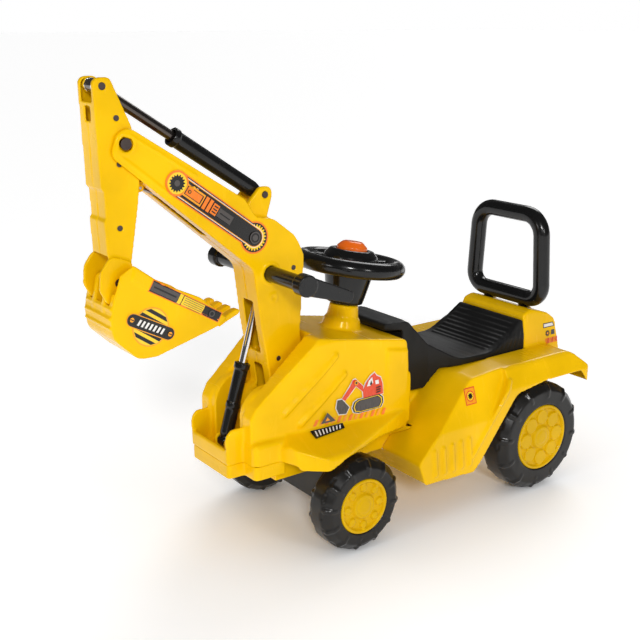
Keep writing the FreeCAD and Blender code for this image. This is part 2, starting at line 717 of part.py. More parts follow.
# ---------------------------------------------------------------- chassis base
def make_chassis():
    """Lower shell: shallow tray with the kingpin's boss and the rear axle's bearings."""
    base = new_body("chassis_base")
    low = dim("floor_z")
    band = dim("band_z")
    floor = dim("floor_wall")
    half = dim("base_half")
    rear = dim("rear_base_half")
    nose = dim("nose_half")
    tub = dim("tub_half")
    front_plan = mirrored([(tub, -266, 6), (tub, -237), (nose, -237, 8), (nose, -182)])
    add(base, "top", outline(front_plan), str(band), "dims.seam_z")
    add(base, "top", outline(BASE_PLAN), str(low), "dims.seam_z")
    add(base, "top", box(-half, -178, half, 60), "dims.seam_z - 1", "dims.seam_z + 18")
    front_in = mirrored([(tub - WALL, -262), (tub - WALL, -233), (nose - WALL, -233),
                         (nose - WALL, -186)])
    take(base, "top", outline(front_in), str(band + floor), "dims.seam_z + 1")
    middle_in = mirrored([(half - WALL, -182), (half - WALL, 52), (rear - WALL, 69),
                          (rear - WALL, 396)])
    take(base, "top", outline(middle_in), str(low + floor), "dims.seam_z + 20")
    pin_y = dim("kingpin_y")
    add(base, "top", circle(0, pin_y, 16), str(low), "151")
    for sign in (1, -1):
        low_x, high_x = sorted((sign * 90, sign * 98))
        axle_y = dim("rear_axle_y")
        axle_z = dim("rear_tyre_r")
        plate = [(axle_y - 16, axle_z - 16, 12), (axle_y + 16, axle_z - 16, 12),
                 (axle_y + 26, low + 4), (axle_y - 26, low + 4)]
        add(base, "side", outline(plate), str(low_x), str(high_x))
    take(base, "side", circle(axle_y, axle_z, dim("axle_r") + 0.02), "-100", "100")
    take(base, "top", circle(0, pin_y, dim("kingpin_r") + dim("running_gap")), str(low - 1), "152")
    for sign in (1, -1):
        for x, y in POSTS + REAR_POSTS:
            bottom = band if y < -180 else low
            take(base, "top", circle(sign * x, y, 2.4), str(bottom - 1), str(bottom + floor + 1))
            recess = bottom + SCREW_HEAD_HIGH + 0.2
            take(base, "top", circle(sign * x, y, SCREW_HEAD_R + 0.5), str(bottom - 1), str(recess))
    keep("chassis_base", base)


def make_base_screws():
    """Self-tapping screws that hold both shells down on the base."""
    screws = []
    for sign in (1, -1):
        for x, y in POSTS + REAR_POSTS:
            bottom = dim("band_z") if y < -180 else dim("floor_z")
            top = bottom + SCREW_HEAD_HIGH
            reach = post_foot(y) + PILOT_DEEP - 2
            head = rod_z("base_screw_head", SCREW_HEAD_R, bottom + 0.1, top + 0.1, sign * x, y)
            shank = rod_z("base_screw_shank", SCREW_R, top, reach, sign * x, y)
            screws.append(joined("base_screw", [head, shank]))
    keep("base_screws", group("base_screws", screws))


# ---------------------------------------------------------------- seat, storage bin, backrest
SEAT_SIDE = [(76, 204), (76, 315), (45, 317, 2), (46, 328, 6), (86, 331, 16), (128, 284, 40),
             (186, 250, 70), (268, 247, 70), (316, 272, 40), (341, 292, 10), (349, 292, 5), (349, 237),
             (152, 237), (124, 205, 4)]
SEAT_FRONT = mirrored([(dim("seat_half"), 190), (dim("seat_half"), 262, 10), (78, 300, 20), (60, 340)])
SEAT_PLAN = mirrored([(48, 40, 8), (62, 76, 10), (68, 130, 30), (dim("seat_half"), 190, 30),
                      (dim("seat_half"), 362)])


def make_seat():
    """Hollow saddle: rises over the back of the hood in front and against the block behind."""
    outer = form("seat_outer", SEAT_SIDE, SEAT_FRONT, SEAT_PLAN)
    inner_side = [(80, 190), (80, 311), (66, 312), (66, 322, 3), (85, 325, 12), (124, 281, 40),
                  (186, 246, 70), (268, 243, 70), (316, 268, 40), (343, 288),
                  (345, 230), (152, 230), (124, 190)]
    inner = form("seat_inner", inner_side, inset(SEAT_FRONT, 4), inset(SEAT_PLAN, 4))
    keep("seat_lid", less("seat_lid", outer, inner))


def make_bin():
    """Storage bin hung in the seat deck, under the seat."""
    tray = new_body("storage_bin")
    half = dim("bin_half")
    front, back = BIN_Y
    deck = dim("deck_z")
    add(tray, "top", box(-half, front + 1, half, back - 1, 10), "160", str(deck + 1))
    add(tray, "top", box(-half - 6, front - 5, half + 6, back + 5, 12), str(deck), str(deck + 2.4))
    take(tray, "top", box(3 - half, front + 4, half - 3, back - 4, 7), "163", str(deck + 3))
    keep("storage_bin", tray)


def make_backrest():
    """Tubular hoop with two feet that plug into the block."""
    hoop = new_body("backrest_frame")
    half = dim("hoop_half")
    low = dim("hoop_low_z")
    high = dim("hoop_high_z")
    radius = dim("hoop_r")
    y = dim("hoop_y")
    middle = (low + high) / 2
    above = half - dim("hoop_taper")
    below = half + dim("hoop_taper")
    path_points = [(half, middle), (above, high, 38), (-above, high, 38), (-below, low, 28),
                   (below, low, 28)]
    path = sketch_on(hoop, "XZ_Plane", outline(path_points), str(-y))
    ring = sketch_on(hoop, "XY_Plane", circle(half, y, radius), str(middle))
    pipe = hoop.newObject("PartDesign::AdditivePipe", "hoop_pipe")
    pipe.Profile = ring
    pipe.Spine = path
    for sign in (1, -1):
        foot = circle(sign * HOOP_FEET, y, 9)
        add(hoop, "top", foot, "284", str(low))
        take(hoop, "top", circle(sign * HOOP_FEET, y, 1.6), "283", "296")
    keep("backrest_frame", hoop)
    screws = []
    for sign in (1, -1):
        head = rod_z("backrest_screw_head", 4.5, 275, 278, sign * HOOP_FEET, "dims.hoop_y")
        shank = rod_z("backrest_screw_shank", 1.5, 277, 295, sign * HOOP_FEET, "dims.hoop_y")
        screws.append(joined("backrest_screw", [head, shank]))
    keep("backrest_screws", group("backrest_screws", screws))


make_hood()
make_rear_body()
make_chassis()
make_base_screws()
make_seat()
make_bin()
make_backrest()


# ---------------------------------------------------------------- boom
BOOM_OUTLINE = [
    (-421, 640, 16), (-405, 686, 20), (-210, 561.5, 14), (-192, 533, 14), (-160, 527, 30),
    (-120, 496, 40), (-104, 464, 30), (-113, 340, 120), (-107, 290, 40), (-126, 224), (-150, 190), (-193, 214),
    (-167, 250, 20), (-186, 362, 200), (-197, 452, 30),
]
KNUCKLE_R = 34
LUG_R = 12.5
STICK_ROOM_R = 60
BOOM_SCREWS = ((-154, 303), (-124, 446), (-300, 590))
EYE_HALF = 9.5


def make_boom_shell():
    """Left half of the hollow boom, split on the toy's middle plane."""
    shell = new_body("boom_left_shell")
    half = dim("boom_half")
    wall = dim("boom_wall")
    y = dim("boom_y")
    z = dim("boom_z")
    ear = (dim("stick_y"), dim("stick_z"))
    lug = (dim("high_ram_y"), dim("high_ram_z"))
    rod_pin = (dim("low_rod_y"), dim("low_rod_z"))
    elbow = (dim("elbow_y"), dim("elbow_z"))
    add(shell, "side", outline(BOOM_OUTLINE), "0", "dims.boom_half")
    add(shell, "side", circle(y, z, KNUCKLE_R), "0", "dims.boom_half")
    take(shell, "side", outline(inset(BOOM_OUTLINE, wall)), "-1", "dims.boom_half - dims.boom_wall")
    room = dim("stick_half") + 1
    take(shell, "side", circle(*ear, STICK_ROOM_R), "-1", str(room))
    lug_back = lug[0] + LUG_R
    lug_outline = [(lug[0] - 36, 548), (lug[0] - 8, lug[1] + LUG_R, 9),
                   (lug_back, lug[1] + LUG_R, 10), (lug_back, lug[1] - 4, 8),
                   (lug[0] + 2, 524), (lug[0] - 30, 524)]
    add(shell, "side", outline(lug_outline), "13.5", "22")
    for centre, size, low in ((rod_pin, 9, 10), (elbow, 17, 24), ((y, z), 20, 0)):
        add(shell, "side", circle(*centre, size), str(low), str(half - 1))
    add(shell, "side", circle(*elbow, 17), str(half - 1), str(half + 2))
    for centre in BOOM_SCREWS:
        add(shell, "side", circle(*centre, 6), "0", str(half - 1))
    gap = dim("running_gap")
    holes = [
        ((y, z), dim("boom_pin_r") + gap), (ear, dim("stick_pin_r") + 0.02),
        (lug, dim("ram_pin_r") + 0.02), (elbow, dim("crossbar_r") + gap),
    ]
    for centre, size in holes:
        take(shell, "side", circle(*centre, size), "-1", str(half + 4))
    take(shell, "side", circle(*rod_pin, dim("ram_pin_r") + 0.02), "-1", str(half - 4))
    take(shell, "side", circle(*ear, 11), str(half - 2.5), str(half + 1))
    for centre in BOOM_SCREWS:
        take(shell, "side", circle(*centre, 2), "-1", str(half + 1))
        take(shell, "side", circle(*centre, 4.4), str(half - 3), str(half + 1))
    ram_window = [(-215, 312), (-168, 312), (-172, 398), (-215, 398)]
    take(shell, "side", outline(ram_window), "-1", "14")
    low_window = [(-200, 246), (-160, 246), (-164, 290), (-200, 290)]
    take(shell, "side", outline(low_window), "-1", "12")
    pull_window = [(-379, 596), (-369, 608.6), (-257, 518.6), (-267, 506)]
    take(shell, "side", outline(pull_window), "-1", "9.5")
    return shell


def screw_x(name, centre, low, high):
    """Pan-head screw along X with its head on the left side."""
    head = rod_x(f"{name}_head", 4, high, high + 2, *centre)
    shank = rod_x(f"{name}_shank", 1.9, low, high + 1, *centre)
    return joined(name, [head, shank])


def make_boom():
    """Both halves of the boom, its screws and the three pins it holds."""
    left = keep("boom_left_shell", make_boom_shell())
    keep("boom_right_shell", mirror_x("boom_right_shell", left))
    half = dim("boom_half")
    screws = [screw_x("boom_screw", centre, -half + 5, half - 3) for centre in BOOM_SCREWS]
    keep("boom_screws", group("boom_screws", screws))
    pin_half = dim("slot_half")
    keep("boom_pivot_pin", rod_x("boom_pivot_pin", "dims.boom_pin_r", -pin_half, pin_half,
                                 "dims.boom_y", "dims.boom_z"))
    shaft = rod_x("stick_pin_shaft", "dims.stick_pin_r", 1 - half, half - 1,
                  "dims.stick_y", "dims.stick_z")
    heads = [
        rod_x("stick_pin_head", 8, low, low + 2, "dims.stick_y", "dims.stick_z")
        for low in (half - 2.4, 0.4 - half)
    ]
    keep("stick_pivot_pin", joined("stick_pivot_pin", [shaft, *heads]))
    keep("upper_ram_pin", rod_x("upper_ram_pin", "dims.ram_pin_r", -22, 22,
                                "dims.high_ram_y", "dims.high_ram_z"))
    keep("lower_rod_pin", rod_x("lower_rod_pin", "dims.ram_pin_r", 5 - half, half - 5,
                                "dims.low_rod_y", "dims.low_rod_z"))
    keep("lower_ram_pin", rod_x("lower_ram_pin", "dims.ram_pin_r", -18, 18,
                                "dims.low_ram_y", "dims.low_ram_z"))


# ---------------------------------------------------------------- stick
STICK_OUTLINE = [
    (-439, 744, 10), (-414, 744, 7), (-385, 677, 40), (-376, 612, 30), (-381, 570, 20), (-396, 486, 12),
    (-399, 455, 10), (-425, 434, 10), (-440, 440, 8), (-431, 503, 20), (-433, 551), (-430, 555),
    (-431, 592), (-435, 596),
]
CHEEK_OUTLINE = [
    (-396, 492, 10), (-396, 452, 14), (-412, 434, 14), (-436, 434, 12), (-447.5, 456, 14), (-445, 482, 14),
    (-429, 504, 14),
]
STICK_SCREWS = ((-407, 690), (-406, 628), (-410, 540))


def make_stick_shell():
    """Left half of the hollow stick, with a cheek for the bucket's pin."""
    shell = new_body("stick_left_shell")
    wall = dim("boom_wall")
    half = dim("stick_half")
    cheek = dim("cheek_half")
    pivot = (dim("stick_y"), dim("stick_z"))
    head = (dim("head_y"), dim("head_z"))
    foot = (dim("bucket_y"), dim("bucket_z"))
    add(shell, "side", outline(STICK_OUTLINE), "0", "dims.stick_half")
    add(shell, "side", outline(CHEEK_OUTLINE), "dims.stick_half - 1", "dims.cheek_half")
    take(shell, "side", outline(inset(STICK_OUTLINE, wall)), "-1", "dims.stick_half - dims.boom_wall")
    take(shell, "side", circle(*foot, 40), "-1", str(half - 1))
    take(shell, "side", circle(*head, 24), "-1", "17.5")
    add(shell, "side", circle(*pivot, 12), "0", str(half - 1))
    for centre in STICK_SCREWS:
        add(shell, "side", circle(*centre, 6), "0", str(half - 1))
    pull = (dim("pull_y"), dim("pull_z"))
    root = [(pull[0], pull[1] + 6), (pull[0] - 19, pull[1] + 12),
            (pull[0] - 19, pull[1] - 10), (pull[0], pull[1] - 6)]
    add(shell, "side", outline(root), "3.5", "8")
    add(shell, "side", circle(*pull, 6), "3.5", "8")
    take(shell, "side", circle(*pull, dim("pull_pin_r") + 0.02), "-1", "9")
    take(shell, "side", circle(*pivot, dim("stick_pin_r") + dim("running_gap")), "-1", str(half + 1))
    take(shell, "side", circle(*head, dim("ram_pin_r") + 0.02), "-1", str(half + 1))
    take(shell, "side", circle(*foot, 6.02), "-1", str(cheek + 1))
    for centre in STICK_SCREWS:
        take(shell, "side", circle(*centre, 2), "-1", str(half + 1))
        take(shell, "side", circle(*centre, 4.4), str(half - 3), str(half + 1))
    head_window = [(-445, 686), (-425, 686), (-425, 706), (-445, 706)]
    take(shell, "side", outline(head_window), "-1", "9")
    rod_way = [(-430, 724), (-380, 691), (-370, 712), (-405, 750), (-430, 750)]
    take(shell, "side", outline(rod_way), "-1", "9.5")
    return shell


def make_stick():
    """Both halves of the stick, its screws, the head's pin with two spacers, the bucket's pin."""
    left = keep("stick_left_shell", make_stick_shell())
    keep("stick_right_shell", mirror_x("stick_right_shell", left))
    half = dim("stick_half")
    screws = [screw_x("stick_screw", centre, -half + 5, half - 3) for centre in STICK_SCREWS]
    keep("stick_screws", group("stick_screws", screws))
    where = ("dims.head_y", "dims.head_z")
    keep("stick_head_pin", rod_x("stick_head_pin", "dims.ram_pin_r", 0.5 - half, half - 0.5, *where))
    spacers = []
    for low, high in ((EYE_HALF, 17), (-17, -EYE_HALF)):
        tube = rod_x("spacer_tube", 10, low, high, *where)
        hole = rod_x("spacer_hole", dim("ram_pin_r") + 0.02, low - 1, high + 1, *where)
        spacers.append(less("spacer", tube, hole))
    keep("head_spacers", group("head_spacers", spacers))
    cheek = dim("cheek_half")
    keep("bucket_pin", rod_x("bucket_pin", "6", 0.5 - cheek, cheek - 0.5,
                             "dims.bucket_y", "dims.bucket_z"))


# ---------------------------------------------------------------- bucket
BUCKET_OUTLINE = [
    (-423, 478, 8), (-402, 490, 4), (-360, 458, 30), (-298, 428, 60), (-255, 390, 3), (-259, 383, 2),
    (-285, 375, 10), (-374, 351, 20), (-402, 353, 20), (-438, 388, 22), (-441, 414, 20), (-436, 440, 20),
]
TEETH = 4


def make_bucket():
    """Open scoop with side plates, hinge lugs inside the stick's cheeks and four blunt teeth."""
    bucket = new_body("bucket")
    half = dim("bucket_half")
    wall = dim("bucket_wall")
    pin = (dim("bucket_y"), dim("bucket_z"))
    add(bucket, "side", outline(BUCKET_OUTLINE), f"-{half}", f"{half}")
    inner = [(-430, 500), (-395, 515), (-340, 480), (-270, 440), (-240, 395), (-259, 387), (-286, 379),
             (-374, 354.6, 16), (-400, 356.6, 17), (-434.4, 389.5, 19), (-437.4, 414, 17), (-432, 442)]
    take(bucket, "side", outline(inner), f"-{half - wall}", f"{half - wall}")
    clear = dim("cheek_half") + 3
    take(bucket, "side", circle(*pin, 34), f"-{clear}", f"{clear}")
    lug = [(-431, 472, 9), (-407, 474, 9), (-408, 452, 10), (-425, 424, 8), (-432, 398), (-439, 400),
           (-440, 430)]
    for low, high in (("11", "20"), ("-20", "-11")):
        add(bucket, "side", outline(lug), low, high)
    take(bucket, "side", circle(*pin, 6 + dim("running_gap")), f"-{clear}", f"{clear}")
    tooth = [(-268, 377), (-256, 383), (-234, 392, 2), (-229, 399, 3), (-238, 400, 3), (-262, 390)]
    pitch = (2 * half - 16) / (TEETH - 1)
    for index in range(TEETH):
        middle = -half + 8 + index * pitch
        add(bucket, "side", outline(tooth), str(middle - 7), str(middle + 7))
    keep("bucket", bucket)


# ---------------------------------------------------------------- toy rams
def aim(item, base, tip):
    """Stand a piece that was made along +Z on its base and point it at its tip."""
    lean = math.degrees(math.atan2(base[0] - tip[0], tip[1] - base[1]))
    item.Placement = Placement(Vector(0, base[0], base[1]), Rotation(Vector(1, 0, 0), lean))
    return item


def make_barrel(name, radius, bore, length, ring):
    """Ram barrel: an eye, a tube with a lip at its mouth and, if given, a ring part-way up."""
    barrel = new_body(name)
    lip = radius + 1.8
    profile = [(0, 6.5), (radius - 1.5, 6.5), (radius, 14, 3), (radius, length - 10),
               (lip, length - 9), (lip, length, 1), (bore, length), (bore, 14), (0, 14)]
    turn(barrel, "XZ_Plane", outline(profile), "V_Axis")
    if ring:
        add(barrel, "top", circle(0, 0, radius + 1), str(ring - 4), str(ring + 4))
        take(barrel, "top", circle(0, 0, bore), str(ring - 5), str(ring + 5))
    add(barrel, "side", circle(0, 0, EYE_HALF), f"-{EYE_HALF}", f"{EYE_HALF}")
    gap = dim("ram_pin_r") + dim("running_gap")
    take(barrel, "side", circle(0, 0, gap), f"-{EYE_HALF + 1}", f"{EYE_HALF + 1}")
    return barrel


def make_rod(name, radius, length, eye_half):
    """Ram rod: an eye and a smooth round bar."""
    rod = new_body(name)
    add(rod, "top", circle(0, 0, radius), "4", str(length))
    add(rod, "side", circle(0, 0, EYE_HALF), f"-{eye_half}", f"{eye_half}")
    gap = dim("ram_pin_r") + dim("running_gap")
    take(rod, "side", circle(0, 0, gap), f"-{EYE_HALF + 1}", f"{EYE_HALF + 1}")
    return rod


def make_rams():
    """Lower ram between the tub and the boom, upper ram between the boom and the stick's head."""
    low_base = (dim("low_ram_y"), dim("low_ram_z"))
    low_tip = (dim("low_rod_y"), dim("low_rod_z"))
    high_base = (dim("high_ram_y"), dim("high_ram_z"))
    high_tip = (dim("head_y"), dim("head_z"))
    low_r = dim("low_barrel_r")
    high_r = dim("high_barrel_r")
    low_barrel = make_barrel("lower_ram_barrel", low_r, low_r - 2.2, dim("low_barrel_long"), 60)
    high_barrel = make_barrel("upper_ram_barrel", high_r, high_r - 2.2, dim("high_barrel_long"), 0)
    low_rod = make_rod("lower_ram_rod", dim("low_rod_r"), dim("low_rod_long"), 8)
    high_rod = make_rod("upper_ram_rod", dim("high_rod_r"), dim("high_rod_long"), 9)
    keep("lower_ram_barrel", aim(low_barrel, low_base, low_tip))
    keep("lower_ram_rod", aim(low_rod, low_tip, low_base))
    keep("upper_ram_barrel", aim(high_barrel, high_base, high_tip))
    keep("upper_ram_rod", aim(high_rod, high_tip, high_base))


# ---------------------------------------------------------------- crossbar, levers, pull rod
LEVER_LONG = 82
LEVER_DROP = 20
CRANK_IN = 9
CRANK_OUT = 13


def make_levers():
    """Crossbar through the boom's elbow with a hand lever on each end and a crank inside."""
    y = dim("elbow_y")
    z = dim("elbow_z")
    radius = dim("crossbar_r")
    reach = dim("crossbar_half")
    keep("crossbar", rod_x("crossbar", "dims.crossbar_r", "-dims.crossbar_half", "dims.crossbar_half",
                           "dims.elbow_y", "dims.elbow_z"))
    end_y = y + LEVER_LONG * math.cos(math.radians(LEVER_DROP))
    end_z = z - LEVER_LONG * math.sin(math.radians(LEVER_DROP))
    lean = Vector(0, end_y - y, end_z - z).normalize()
    wide = Vector(0, -lean.z, lean.y)
    lever = new_body("left_lever")
    low = reach - 15
    high = reach + 5
    add(lever, "side", circle(y, z, 17), str(low), str(high))
    add(lever, "side", circle(end_y, end_z, 10), str(low + 3), str(high - 3))
    arm = [(y + wide.y * 15, z + wide.z * 15), (end_y + wide.y * 9.8, end_z + wide.z * 9.8),
           (end_y - wide.y * 9.8, end_z - wide.z * 9.8), (y - wide.y * 15, z - wide.z * 15)]
    add(lever, "side", outline(arm), str(low + 3), str(high - 3))
    take(lever, "side", circle(y, z, radius + 0.02), str(low - 1), str(reach))
    keep("left_lever", lever)
    keep("right_lever", mirror_x("right_lever", lever))
    crank = new_body("lever_crank")
    pin = crank_pin()
    add(crank, "side", circle(y, z, 19), str(CRANK_IN), str(CRANK_OUT))
    along = Vector(0, pin[0] - y, pin[1] - z).normalize()
    across = Vector(0, -along.z, along.y)
    far = dim("crank_long") + 16
    plate = []
    for out, side in ((0, 13), (far, 13), (far, -13), (0, -13)):
        corner = along * out + across * side
        plate.append((y + corner.y, z + corner.z, 8 if out else 0))
    add(crank, "side", outline(plate), str(CRANK_IN), str(CRANK_OUT))
    take(crank, "side", circle(y, z, radius + 0.02), str(CRANK_IN - 1), str(CRANK_OUT + 1))
    slot = []
    for out, side in ((39, 3.6), (61, 3.6), (61, -3.6), (39, -3.6)):
        corner = along * out + across * side
        slot.append((y + corner.y, z + corner.z, 3.5))
    take(crank, "side", outline(slot), str(CRANK_IN - 1), str(CRANK_OUT + 1))
    keep("lever_crank", crank)


def crank_pin():
    """Where the pull rod's end sits in the crank's slot, as (y, z)."""
    y = dim("elbow_y")
    z = dim("elbow_z")
    reach = dim("crank_long")
    towards_stick = math.atan2(dim("pull_z") - z, dim("pull_y") - y)
    lean = towards_stick - math.radians(dim("crank_lead"))
    return (y + reach * math.cos(lean), z + reach * math.sin(lean))


def make_pull_rod():
    """Thin rod from a lug behind the stick into the boom."""
    start = (dim("pull_y"), dim("pull_z"))
    end = crank_pin()
    long = math.dist(start, end)
    radius = dim("pull_pin_r")
    rod = new_body("pull_rod")
    add(rod, "top", circle(0, 0, radius), "0", str(long))
    add(rod, "side", circle(0, 0, 4.5), "-3", "3")
    take(rod, "side", circle(0, 0, radius + dim("running_gap")), "-4", "4")
    add(rod, "side", circle(0, long, radius), f"-{radius}", str(CRANK_OUT + 3))
    keep("pull_rod", aim(rod, start, end))
    keep("pull_rod_pin", rod_x("pull_rod_pin", "dims.pull_pin_r", -8, 8, "dims.pull_y", "dims.pull_z"))


make_boom()
make_stick()
make_bucket()
make_rams()
make_levers()
make_pull_rod()

# ---------------------------------------------------------------- check and write
doc.recompute()
for item in doc.Objects:
    if "Invalid" in item.State or "Error" in item.State:
        raise RuntimeError(f"{item.Name} failed: {item.State}")
for part in subparts:
    if part.Shape.isNull() or not part.Shape.isValid():
        raise RuntimeError(f"{part.Label} has no valid shape")

os.makedirs("parts", exist_ok=True)
for part in subparts:
    part.Shape.exportStep(f"parts/{part.Label}.step")
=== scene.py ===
"""Ride-on toy excavator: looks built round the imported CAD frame, in metres."""
import math
import bmesh
import bpy
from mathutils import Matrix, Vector
from mathutils.bvhtree import BVHTree
from mathutils.geometry import tessellate_polygon


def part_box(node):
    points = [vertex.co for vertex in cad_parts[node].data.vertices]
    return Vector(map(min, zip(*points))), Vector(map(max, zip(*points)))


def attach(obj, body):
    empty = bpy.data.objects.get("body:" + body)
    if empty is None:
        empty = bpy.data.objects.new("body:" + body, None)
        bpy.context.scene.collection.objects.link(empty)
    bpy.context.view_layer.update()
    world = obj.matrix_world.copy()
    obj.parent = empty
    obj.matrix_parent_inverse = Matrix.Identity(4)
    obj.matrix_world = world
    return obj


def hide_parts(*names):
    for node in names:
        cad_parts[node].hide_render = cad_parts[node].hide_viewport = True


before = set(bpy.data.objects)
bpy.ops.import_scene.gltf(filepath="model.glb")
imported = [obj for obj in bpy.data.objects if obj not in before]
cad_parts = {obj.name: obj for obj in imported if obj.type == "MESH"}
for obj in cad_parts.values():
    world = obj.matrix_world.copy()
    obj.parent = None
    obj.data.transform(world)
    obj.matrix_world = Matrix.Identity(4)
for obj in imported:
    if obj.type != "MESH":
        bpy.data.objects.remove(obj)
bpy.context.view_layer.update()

MM = 0.001
LABELS = {1: "left", -1: "right"}
COARSE = 1.0


# ---------------------------------------------------------------- materials
DRIFT_RANGE = (0.35, 0.65)
# Pointiness span over which convex edges get a lighter colour: edge wear with a painted highlight.
EDGE_WEAR_HIGHLIGHT_RANGE = (0.53, 0.62)
# Painted shade: the pointiness span over which creases and hollows are darkened.
CREASE_SHADE_RANGE = (0.47, 0.40)
SCUFF_STRETCH = (8.0, 70.0, 20.0)
SCUFF_TURN = (0.5, 0.2, 0.7)
SCUFF_RANGE = (0.5, 0.75)
SCUFF_ROUGH = 0.14
GRAIN_HEIGHT = 0.0006
SPECULAR = 0.24
COAT_ROUGH = 0.08


def node(tree, kind, **values):
    """A shader node with its properties and input values set."""
    made = tree.nodes.new(kind)
    for key, value in values.items():
        if key in made.inputs:
            made.inputs[key].default_value = value
        else:
            setattr(made, key, value)
    return made


def ramp(tree, source, span):
    """Maps a span of a value onto 0..1."""
    made = tree.nodes.new("ShaderNodeMapRange")
    made.inputs["From Min"].default_value, made.inputs["From Max"].default_value = span
    tree.links.new(source, made.inputs["Value"])
    return made.outputs["Result"]


def mix(tree, factor, first, second):
    """Blends two colours, given as values or as sockets."""
    made = tree.nodes.new("ShaderNodeMix")
    made.data_type = "RGBA"
    factor_in, first_in, second_in = (made.inputs[index] for index in (0, 6, 7))
    for socket, value in ((factor_in, factor), (first_in, first), (second_in, second)):
        if isinstance(value, bpy.types.NodeSocket):
            tree.links.new(value, socket)
        else:
            socket.default_value = value
    return made.outputs[2]


def moulded(name, colour, rough=0.3, coat=0.5, grain=300, grain_deep=0.05, wear_highlight=None, metal=0.0,
            bevel=0.0, streak=0.0, tint=(1.0, 1.0, 1.0)):
    """Plastic, rubber or metal with colour drift, fine grain, scuffs, lighter worn edges that also carry a
    painted highlight, and painted shade in its creases.
    """
    material = bpy.data.materials.new(name)
    material.use_nodes = True
    tree = material.node_tree
    shader = tree.nodes["Principled BSDF"]
    place = node(tree, "ShaderNodeTexCoord").outputs["Object"]

    drift = node(tree, "ShaderNodeTexNoise", Scale=7.0, Detail=4.0)
    tree.links.new(place, drift.inputs["Vector"])
    darker = (*[c * 0.86 for c in colour], 1)
    lighter = (*[min(1, c * 1.06 + 0.002) for c in colour], 1)
    base = mix(tree, ramp(tree, drift.outputs["Fac"], DRIFT_RANGE), darker, lighter)

    geometry = node(tree, "ShaderNodeNewGeometry")
    # Convex edges (high pointiness) take a lighter colour: edge wear plus a painted highlight.
    edge = ramp(tree, geometry.outputs["Pointiness"], EDGE_WEAR_HIGHLIGHT_RANGE)
    # Painted shade: creases and hollows (low pointiness) are darkened to 0.7 of the colour, where shade
    # falls.
    crease_shade = ramp(tree, geometry.outputs["Pointiness"], CREASE_SHADE_RANGE)
    wear_highlight = wear_highlight or [min(1, c * 1.25 + 0.03) for c in colour]
    base = mix(tree, edge, base, (*wear_highlight, 1))
    base = mix(tree, crease_shade, base, (*[c * 0.7 for c in colour], 1))
    tree.links.new(base, shader.inputs["Base Color"])

    stretch = node(tree, "ShaderNodeMapping", Scale=SCUFF_STRETCH, Rotation=SCUFF_TURN)
    tree.links.new(place, stretch.inputs["Vector"])
    scuff = node(tree, "ShaderNodeTexNoise", Scale=1.0, Detail=6.0)
    tree.links.new(stretch.outputs["Vector"], scuff.inputs["Vector"])
    roughness = node(tree, "ShaderNodeMath", operation="MULTIPLY_ADD")
    tree.links.new(ramp(tree, scuff.outputs["Fac"], SCUFF_RANGE), roughness.inputs[0])
    roughness.inputs[1].default_value = SCUFF_ROUGH + streak
    roughness.inputs[2].default_value = rough
    tree.links.new(roughness.outputs[0], shader.inputs["Roughness"])

    fine = node(tree, "ShaderNodeTexNoise", Scale=float(grain), Detail=3.0)
    tree.links.new(place, fine.inputs["Vector"])
    bump = node(tree, "ShaderNodeBump", Strength=grain_deep, Distance=GRAIN_HEIGHT)
    tree.links.new(fine.outputs["Fac"], bump.inputs["Height"])
    if bevel:
        rounded = node(tree, "ShaderNodeBevel", samples=6, Radius=bevel)
        tree.links.new(rounded.outputs["Normal"], bump.inputs["Normal"])
    tree.links.new(bump.outputs["Normal"], shader.inputs["Normal"])
    for key, value in (("Metallic", metal), ("Specular IOR Level", SPECULAR), ("Specular Tint", (*tint, 1)),
                       ("Coat Weight", coat), ("Coat Roughness", COAT_ROUGH)):
        shader.inputs[key].default_value = value
    return material


WARM = (1.0, 0.7, 0.15)
YELLOW = moulded("yellow_shell", (0.95, 0.548, 0.0), rough=0.26, coat=0.14, grain=420, grain_deep=0.04,
                 wear_highlight=(1.0, 0.60, 0.002), streak=-0.11, tint=WARM)
RIM = moulded("rim_yellow", (0.68, 0.40, 0.0), rough=0.34, coat=0.06, grain=500, grain_deep=0.06,
              wear_highlight=(0.80, 0.50, 0.002), streak=-0.10, tint=WARM)
TYRE = moulded("tyre_black", (0.010, 0.009, 0.008), rough=0.32, coat=0.2, grain=260, grain_deep=0.10,
               wear_highlight=(0.035, 0.032, 0.028), streak=0.1)
BLACK = moulded("black_gloss", (0.006, 0.006, 0.006), rough=0.2, coat=0.3, grain=380, grain_deep=0.05,
                wear_highlight=(0.02, 0.018, 0.016))
SEAT = moulded("seat_black", (0.008, 0.008, 0.008), rough=0.48, coat=0.06, grain=900, grain_deep=0.25,
               wear_highlight=(0.024, 0.022, 0.02))
MATTE = moulded("black_matte", (0.012, 0.012, 0.012), rough=0.5, coat=0.0, grain=700, grain_deep=0.2,
                bevel=0.0006)
ORANGE = moulded("horn_orange", (0.95, 0.16, 0.004), rough=0.22, coat=0.6, grain=300, grain_deep=0.03)
CHROME = moulded("chrome", (0.78, 0.78, 0.8), rough=0.06, coat=0.0, grain=900, grain_deep=0.02,
                 metal=1.0, streak=0.05, bevel=0.0005)
GUNMETAL = moulded("dark_rod", (0.10, 0.085, 0.075), rough=0.16, coat=0.2, grain=900, grain_deep=0.02,
                   metal=0.9, streak=0.05, bevel=0.0005)
STEEL = moulded("zinc_steel", (0.42, 0.41, 0.40), rough=0.3, coat=0.0, grain=1200, grain_deep=0.1,
                metal=1.0, streak=0.2, bevel=0.0004)
SCREW = moulded("dark_screw", (0.05, 0.035, 0.03), rough=0.35, coat=0.0, grain=1200, grain_deep=0.1,
                metal=0.8, bevel=0.0004)

